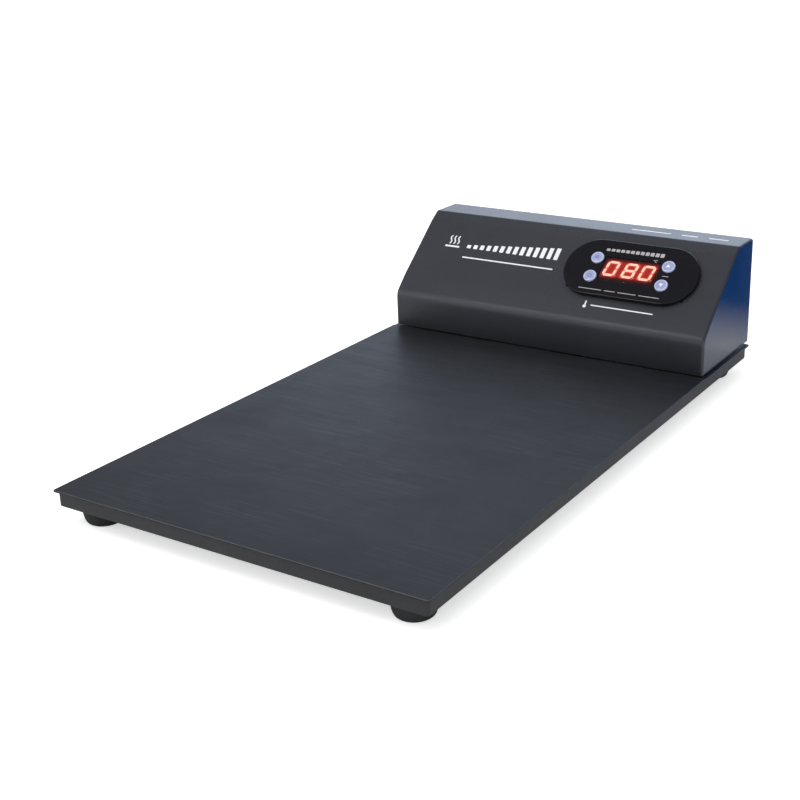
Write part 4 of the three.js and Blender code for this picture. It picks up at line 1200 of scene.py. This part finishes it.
def glow_at(x, y):
    """brightness of the spread light: a halo round the row, more close to each bar and point"""
    here = Vector((x, y))
    upright_x = x - LEAN * (y - DIGIT_Y)
    past_x = max(DIGITS[0][0] - half_w + 1.5 - upright_x,
                 upright_x - DIGITS[-1][0] - half_w + 1.5, 0.0)
    past_y = max(abs(y - DIGIT_Y) - half_h + 1.5, 0.0)
    outside = max(0.0, hypot(past_x, past_y) - 1.5)
    value = 0.32 * exp(-(outside / 0.95) ** 1.2) + 0.034 * exp(-(outside / 2.4) ** 2)
    if outside == 0.0 and any(abs(upright_x - middle) < half_w for middle, _ in DIGITS):
        value += 0.08
    near = 9.0
    for start, end in lit_lines:
        line = end - start
        t = max(0.0, min(1.0, (here - start).dot(line) / line.length_squared))
        near = min(near, (here - start - line * t).length)
    value += 0.40 * exp(-max(0.0, near - STROKE_W / 2) / 0.40)
    for at in POINTS:
        value += 0.12 * exp(-((here - Vector(at)).length / 0.6) ** 2)
    return min(GLOW_MAX, value)


def film_shape():
    """a closed sheet whose top is a fine grid"""
    xs = steps(WINDOW[0] - FILM_HALF_W, WINDOW[0] + FILM_HALF_W, FILM_NX)
    ys = steps(WINDOW[1] - FILM_HALF_H, WINDOW[1] + FILM_HALF_H, FILM_NY)
    verts = [(x, y, z) for z in FILM_LEVELS for y in ys for x in xs]
    top = FILM_NX * FILM_NY
    faces = []
    for j in range(FILM_NY - 1):
        for i in range(FILM_NX - 1):
            a = j * FILM_NX + i + top
            faces.append((a, a + 1, a + FILM_NX + 1, a + FILM_NX))
    last = (FILM_NY - 1) * FILM_NX
    rim = [*range(FILM_NX), *(j * FILM_NX + FILM_NX - 1 for j in range(1, FILM_NY)),
           *(last + i for i in range(FILM_NX - 2, -1, -1)),
           *(j * FILM_NX for j in range(FILM_NY - 2, 0, -1))]
    faces.append(tuple(rim[::-1]))
    for a, b in zip(rim, rim[1:] + rim[:1]):
        faces.append((a, b, b + top, a + top))
    return verts, faces


film = make("display_glow_film", film_shape(), GLOW_NAMES[0], on_slope, 50, False)
add_materials(film, *GLOW_NAMES[1:])
for face in film.data.polygons:
    x, y, z = slope_coords(face.center)
    if z > 2.03:
        face.material_index = int(round(TOP_LEVEL * sqrt(glow_at(x, y) / GLOW_MAX)))
register(film)

# ---------------------------------------------------------------- buttons
# (radius, height): stem, hidden flange, wall, raised rim and groove, then the domed middle
BUTTON = [(0, -1.2), (1.1, -1.2), (1.2, -1.1), (1.2, 0.0), (4.6, 0.0), (4.7, 0.1), (4.7, 0.7),
          (4.6, 0.8), (3.56, 0.8), (3.56, 2.6), (3.52, 2.9), (3.42, 3.14), (3.27, 3.32),
          (3.08, 3.42), (2.92, 3.42), (2.82, 3.3), (2.74, 3.08), (2.64, 2.96), (2.54, 2.99)]
BUTTON += [(2.62 - 0.22 * k, 3.02 + 0.35 * sin(pi / 2 * min(1, k / 9.0))) for k in range(1, 11)]
BUTTON += [(0.0, 3.37)]
BUTTON_INK = (3.26, 3.43)


def button_mark(where, x, y):
    """(ink, shape): triangles on the right, three bars and a broken ring on the left"""
    if "right" in where:
        sign = 1 if "upper" in where else -1
        triangle = fillet([(a * sign, b * sign)
                           for a, b in ((-1.15, -0.75), (1.15, -0.75), (0, 1.05))], 0.12, 3)
        return "print_white", prism([(x + a, y + b) for a, b in triangle], (3.26, 3.44))
    if "upper" in where:
        return "print_indigo", merge(*[bar(2.3, 0.3, 0.14, x, y + k, (3.24, 3.43))
                                       for k in (0.75, 0.0, -0.75)])
    arc = [(x + 0.95 * cos(t), y + 0.95 * sin(t)) for t in steps(radians(125), radians(415), 26)]
    return "print_indigo", merge(stroke(arc, 0.28, BUTTON_INK),
                                 bar(0.28, 1.15, 0.13, x, y + 0.75, BUTTON_INK))


for where, (x, y) in BUTTONS.items():
    cap = make("button_%s_cap" % where, lathe_up(BUTTON, x, y), "button_pearl", on_slope, 40)
    add_materials(cap, "button_rim_painted_highlight")
    # the outer rim takes the lighter copy of the pearl paint, a painted highlight
    for face in cap.data.polygons:
        face_x, face_y, _ = slope_coords(face.center)
        if hypot(face_x - x, face_y - y) > 2.76:
            face.material_index = 1
    register(cap, "button_" + where, "push_" + where)
    ink_name, shape = button_mark(where, x, y)
    register(make("button_%s_mark" % where, shape, ink_name, on_slope, 40),
             body="push_" + where)

# ---------------------------------------------------------------- printed marks
# on the control face: a graduation, a broken rule, a dash and a degree sign with C
FACE_INK = (2.602, 2.64)
marks = []
for k in range(12):
    height = 1.55 + 0.08 * k
    marks.append(bar(2.15, height, 0.35, -16.6 + k * 2.82, 10.55 + height / 2, FACE_INK))
for left, right in ((-24.6, -11.2), (-9.6, -3.4), (-1.8, 8.6), (10.2, 21.6)):
    marks.append(bar(right - left, 0.42, 0.18, (left + right) / 2, -14.6, FACE_INK))
marks.append(bar(3.6, 0.34, 0.15, 20.2, -0.75, FACE_INK))
marks.append(stroke([(11.05 + 0.32 * cos(t), 8.25 + 0.32 * sin(t))
                     for t in steps(0, 2 * pi, 17)[:-1]], 0.18, FACE_INK, closed=True))
marks.append(stroke([(12.45 + 0.66 * cos(t), 7.75 + 0.78 * sin(t))
                     for t in steps(radians(48), radians(312), 18)], 0.26, FACE_INK))
register(make("bezel_print", merge(*marks), "print_grey", on_slope, 40))

# on the slope: three rising waves over a bar, a row of growing bars and a rule
SLOPE_INK = (0.004, 0.05)
marks = []
x, y = -112.2, 5.6
for k in (-2.5, 0, 2.5):
    marks.append(stroke([(x + k + 0.62 * sin(t * 2 * pi), y - 2.0 + 5.6 * t)
                         for t in steps(0, 1, 19)], 0.75, SLOPE_INK))
marks.append(bar(9.4, 1.15, 0.3, x, y - 3.7, SLOPE_INK))
for k in range(14):
    height = 2.2 + 5.6 * (k / 13.0)
    marks.append(bar(2.5, height, 0.35, -101.5 + k * 4.25, 1.9 + height / 2, SLOPE_INK))
marks.append(bar(57.5, 0.85, 0.4, -73.9, -4.4, SLOPE_INK))
# below the face: a thermometer and a rule
x, y = -18.2, -22.8
marks.append(prism(circle(0.95, x, y - 1.3, 28), SLOPE_INK))
marks.append(bar(0.85, 3.4, 0.42, x, y + 0.5, SLOPE_INK, 4))
marks.append(bar(35.5, 0.7, 0.33, 2.8, -23.0, SLOPE_INK))
register(make("slope_print", merge(*marks), "print_white", on_slope, 40))

# on the flat top of the housing: three dashes
TOP_INK = (HOUSE_TOP + 0.004, HOUSE_TOP + 0.05)
marks = [bar(right - left, 1.5, 0.6, (left + right) / 2, 151.6, TOP_INK, 4)
         for left, right in ((28, 51), (57, 66.5), (72.5, 83.5))]
register(make("top_print", merge(*marks), "print_white", angle=40))


# ---------------------------------------------------------------- wiring
def case_point(across, out):
    """a point behind the sloping panel, in millimetres from the floor"""
    return tuple((on_slope((across, 0, out)) - Vector((MID_X, MID_Y, 0))) / MM)


# name: (radius, material, path)
WIRES = {
    "heater_cable": (1.68, "red_silicone", [
        (-22, 92.8, 10.2), (-20, 104, 9.8), (-6, 120, 9.7), (-2.6, 129.6, 9.9),
        (-1.9, 131.8, 13.0), (-1.9, 132, 20), (2, 134, 28), (14, 147, 30),
        case_point(-15, -37), case_point(-15, -31.9)]),
    "sensor_cable": (0.98, "dark_wire", [
        (0, 88.0, 11.2), (0.5, 98, 9.6), (3.5, 120, 9.4), (2.8, 129.8, 9.6),
        (2.6, 131.8, 12.6), (2.6, 132, 18.5), (14, 133, 23.2), (40, 146, 23.6),
        (54.5, 152, 25), case_point(14, -36), case_point(14, -31.9)]),
    "switch_feed_wire": (1.18, "brown_wire", [
        (INLET_X + 7, 135.4, 38), (INLET_X + 7.5, 131, 38), (INLET_X + 18, 126.5, 42),
        (SWITCH_X - 8, 130, 47.9), (SWITCH_X - 1, 135, 47.9), (SWITCH_X, 140.5, 47.9)]),
    "live_wire": (1.18, "brown_wire", [
        (SWITCH_X, 140.5, 40.1), (SWITCH_X + 1, 134, 39), (4, 138, 35), (18, 150, 33),
        case_point(-7, -38.5), case_point(-7, -31.9)]),
    "neutral_wire": (1.18, "blue_wire", [
        (INLET_X - 7, 135.3, 38), (INLET_X - 6.9, 132, 37.6), (INLET_X - 5, 128, 34),
        (INLET_X + 12, 124, 25.2), (-16, 118, 23.4), (18, 113, 23.4), (38, 126, 23.2),
        (43, 142, 26.5), case_point(2, -36.5), case_point(2, -31.9)]),
}
for name, (radius, material, path) in WIRES.items():
    wire = make(name + "_round", tube(path, radius), material, angle=60)
    register(wire, name)

# ---------------------------------------------------------------- pieces left in CAD shape
# node: (material, width of the softened edges)
KEEP = {
    "heater_mat": ("mat_silicone", 0.3), "insulation_blanket": ("blanket", 0.8),
    "display_board": ("circuit_board", 0.12), "thermostat_case": ("case_plastic", 0.35),
    "power_board": ("circuit_board", 0.12), "relay": ("relay_blue", 0.4),
    "transformer": ("transformer_tape", 0.4), "terminal_block": ("terminal_green", 0.3),
    "temperature_probe": ("zinc_steel", 0.25), "thermal_cutout": ("case_plastic", 0.25),
    "cable_grommet": ("foot_rubber", 0.3), "earth_wire": ("earth_wire", 0.08),
    "earth_screw": ("brass", 0.1),
}
for where in WHERE:
    KEEP["housing_spacer_" + where] = ("spacer_fibre", 0.15)
    KEEP["housing_screw_" + where] = ("zinc_steel", 0.1)
for node, (material, width) in KEEP.items():
    ob = frame["nodes"][node]
    ob.data.materials.clear()
    add_materials(ob, material)
    weld = ob.modifiers.new("weld", "WELD")
    weld.merge_threshold = 1e-6
    bevel = ob.modifiers.new("soft", "BEVEL")
    bevel.width = width * MM
    bevel.segments = 2
    bevel.limit_method = "ANGLE"
    bevel.angle_limit = radians(40)
    for face in ob.data.polygons:
        face.use_smooth = False


# ---------------------------------------------------------------- floor and reflectors
def quad(name, corners, material):
    mesh = bpy.data.meshes.new(name)
    mesh.from_pydata(corners, [], [(0, 1, 2, 3)])
    mesh.materials.append(MATS[material])
    ob = bpy.data.objects.new(name, mesh)
    scene.collection.objects.link(ob)
    return ob


def floor_material():
    """white, and lifted a little for the camera only"""
    m = Mat("floor_white")
    col = m.shift(m.noise(6), 0.3, 0.7, (0.86, 0.86, 0.865), (0.88, 0.88, 0.88))
    diffuse = m.node("ShaderNodeBsdfDiffuse", {"Color": col})
    camera_ray = m.node("ShaderNodeLightPath").outputs["Is Camera Ray"]
    lift = m.node("ShaderNodeEmission", {"Color": (1, 1, 1), "Strength": m.mul(camera_ray, 0.55)})
    m.surface(m.node("ShaderNodeAddShader", {0: diffuse, 1: lift}))


floor_material()
quad("floor", rectangle3 := [(x, y, 0) for x, y in rectangle(-9, 9, -9, 9)],
              "floor_white")


def reflector(name, corners, z_high, low, high, strength=1.0):
    """a card seen only in reflections, shading from low at z = 0 to high at z_high"""
    m = Mat(name)
    col = m.shift(m.z_of(m.co), 0.0, z_high, low, high)
    m.surface(m.node("ShaderNodeEmission", {"Color": col, "Strength": strength}))
    ob = quad(name, corners, name)
    ob.visible_camera = False
    ob.visible_diffuse = False
    ob.visible_shadow = False
    ob.visible_transmission = False


reflector("blue_reflector",
          [(0.098, 0.185, 0.0), (1.1, 0.22, 0.0), (1.1, 0.22, 0.5), (0.098, 0.185, 0.5)],
          z_high=0.029, low=(1.12, 1.12, 1.15), high=(0.0, 0.11, 0.50))

# a small bright panel at the front left: the sparkle on the button rims
GLINT_HALF, GLINT_REACH = 0.11, 0.9
toward = Vector((-0.389, -0.672, 0.630)).normalized()
centre = Vector((0.02, 0.125, 0.06)) + GLINT_REACH * toward
level_way = toward.cross(Vector((0, 0, 1))).normalized()
steep_way = toward.cross(level_way).normalized()
reflector("button_glint",
          [tuple(centre + level_way * a * GLINT_HALF + steep_way * b * GLINT_HALF)
           for a, b in rectangle(-1, 1, -1, 1)],
          z_high=1.0, low=(1.0, 1.0, 1.0), high=(1.0, 1.0, 1.0), strength=7.5)

# ---------------------------------------------------------------- world
# what reflections see overhead and toward the rear, the front and the left
OVERHEAD, REAR = (0.225, 0.235, 0.26), (1.85, 2.10, 2.52)
FRONT, LEFT = (0.25, 0.25, 0.27), (0.34, 0.36, 0.40)
DIFFUSE = 0.62  # strength of the light on matt surfaces

world = bpy.data.worlds.new("studio")
scene.world = world
world.use_nodes = True
sky = Nodes(world.node_tree)
direction = sky.node("ShaderNodeSeparateXYZ",
                     {0: sky.node("ShaderNodeTexCoord").outputs["Generated"]}).outputs
seen = OVERHEAD
for axis, start, end, color in (("Y", 0.15, 0.75, REAR), ("Y", -0.35, -0.9, FRONT),
                                ("X", -0.38, -0.95, LEFT)):
    amount = sky.range(direction[axis], start, end, interpolation_type="SMOOTHSTEP")
    seen = sky.mix(amount, seen, color)
reflected = sky.node("ShaderNodeBackground", {0: seen})
ambient = sky.node("ShaderNodeBackground", {0: (0.97, 0.985, 1.0), 1: DIFFUSE})
backdrop = sky.node("ShaderNodeBackground", {0: (1, 1, 1)})
ray = sky.node("ShaderNodeLightPath").outputs
lighting = sky.mix_shader(ray["Is Glossy Ray"], ambient, reflected)
sky.node("ShaderNodeOutputWorld",
         {"Surface": sky.mix_shader(ray["Is Camera Ray"], lighting, backdrop)})


# ---------------------------------------------------------------- lights
def area(name, place, target, size, power, color=(1, 1, 1), glossy=False):
    lamp = bpy.data.lights.new(name, "AREA")
    lamp.energy = power
    lamp.color = color
    lamp.shape = "RECTANGLE"
    lamp.size = size
    lamp.size_y = size
    ob = bpy.data.objects.new(name, lamp)
    ob.location = place
    ob.rotation_euler = (Vector(target) - Vector(place)).to_track_quat("-Z", "Y").to_euler()
    ob.visible_camera = False
    ob.visible_glossy = glossy
    scene.collection.objects.link(ob)


area("key_overhead", (-0.35, -0.30, 1.35), target=(0, 0.0, 0.0), size=1.5, power=11.0)
area("front_fill", (0.35, -1.3, 0.7), target=(0, 0, 0.03), size=1.0, power=3.2,
     color=(1.0, 0.99, 0.97))
area("side_fill", (1.3, -0.15, 0.22), target=(0.1, 0, 0.01), size=0.5, power=3.2)
area("button_spark", (-0.55, -0.55, 0.30), target=(0.04, 0.12, 0.06), size=0.07, power=0.45,
     glossy=True)

# ---------------------------------------------------------------- camera
# its own right, up and backward directions
CAMERA_AXES = ((0.8475626372196324, 0.5302134547456594, -0.02261124490102215),
               (-0.1659644384241664, 0.30528744160627974, 0.9376861858724609),
               (0.5040767611860841, -0.790995114020412, 0.3467468073796537))
CAMERA_PLACE = Vector((326.47641545, -510.99626715, 253.15856407)) * MM
camera_data = bpy.data.cameras.new("camera")
camera = bpy.data.objects.new("camera", camera_data)
scene.collection.objects.link(camera)
turned = Matrix(CAMERA_AXES).transposed().to_4x4()
camera.matrix_world = Matrix.Translation(CAMERA_PLACE) @ turned
camera_data.sensor_fit = "VERTICAL"
camera_data.sensor_height = 36.0
camera_data.sensor_width = 31.0
camera_data.lens = 60.497636112
camera_data.shift_x = -0.0599479985
camera_data.shift_y = -0.02463363425
camera_data.clip_start = 0.01
camera_data.clip_end = 60
scene.camera = camera

scene.view_settings.view_transform = "Standard"
scene.view_settings.look = "None"
scene.view_settings.exposure = 0.0
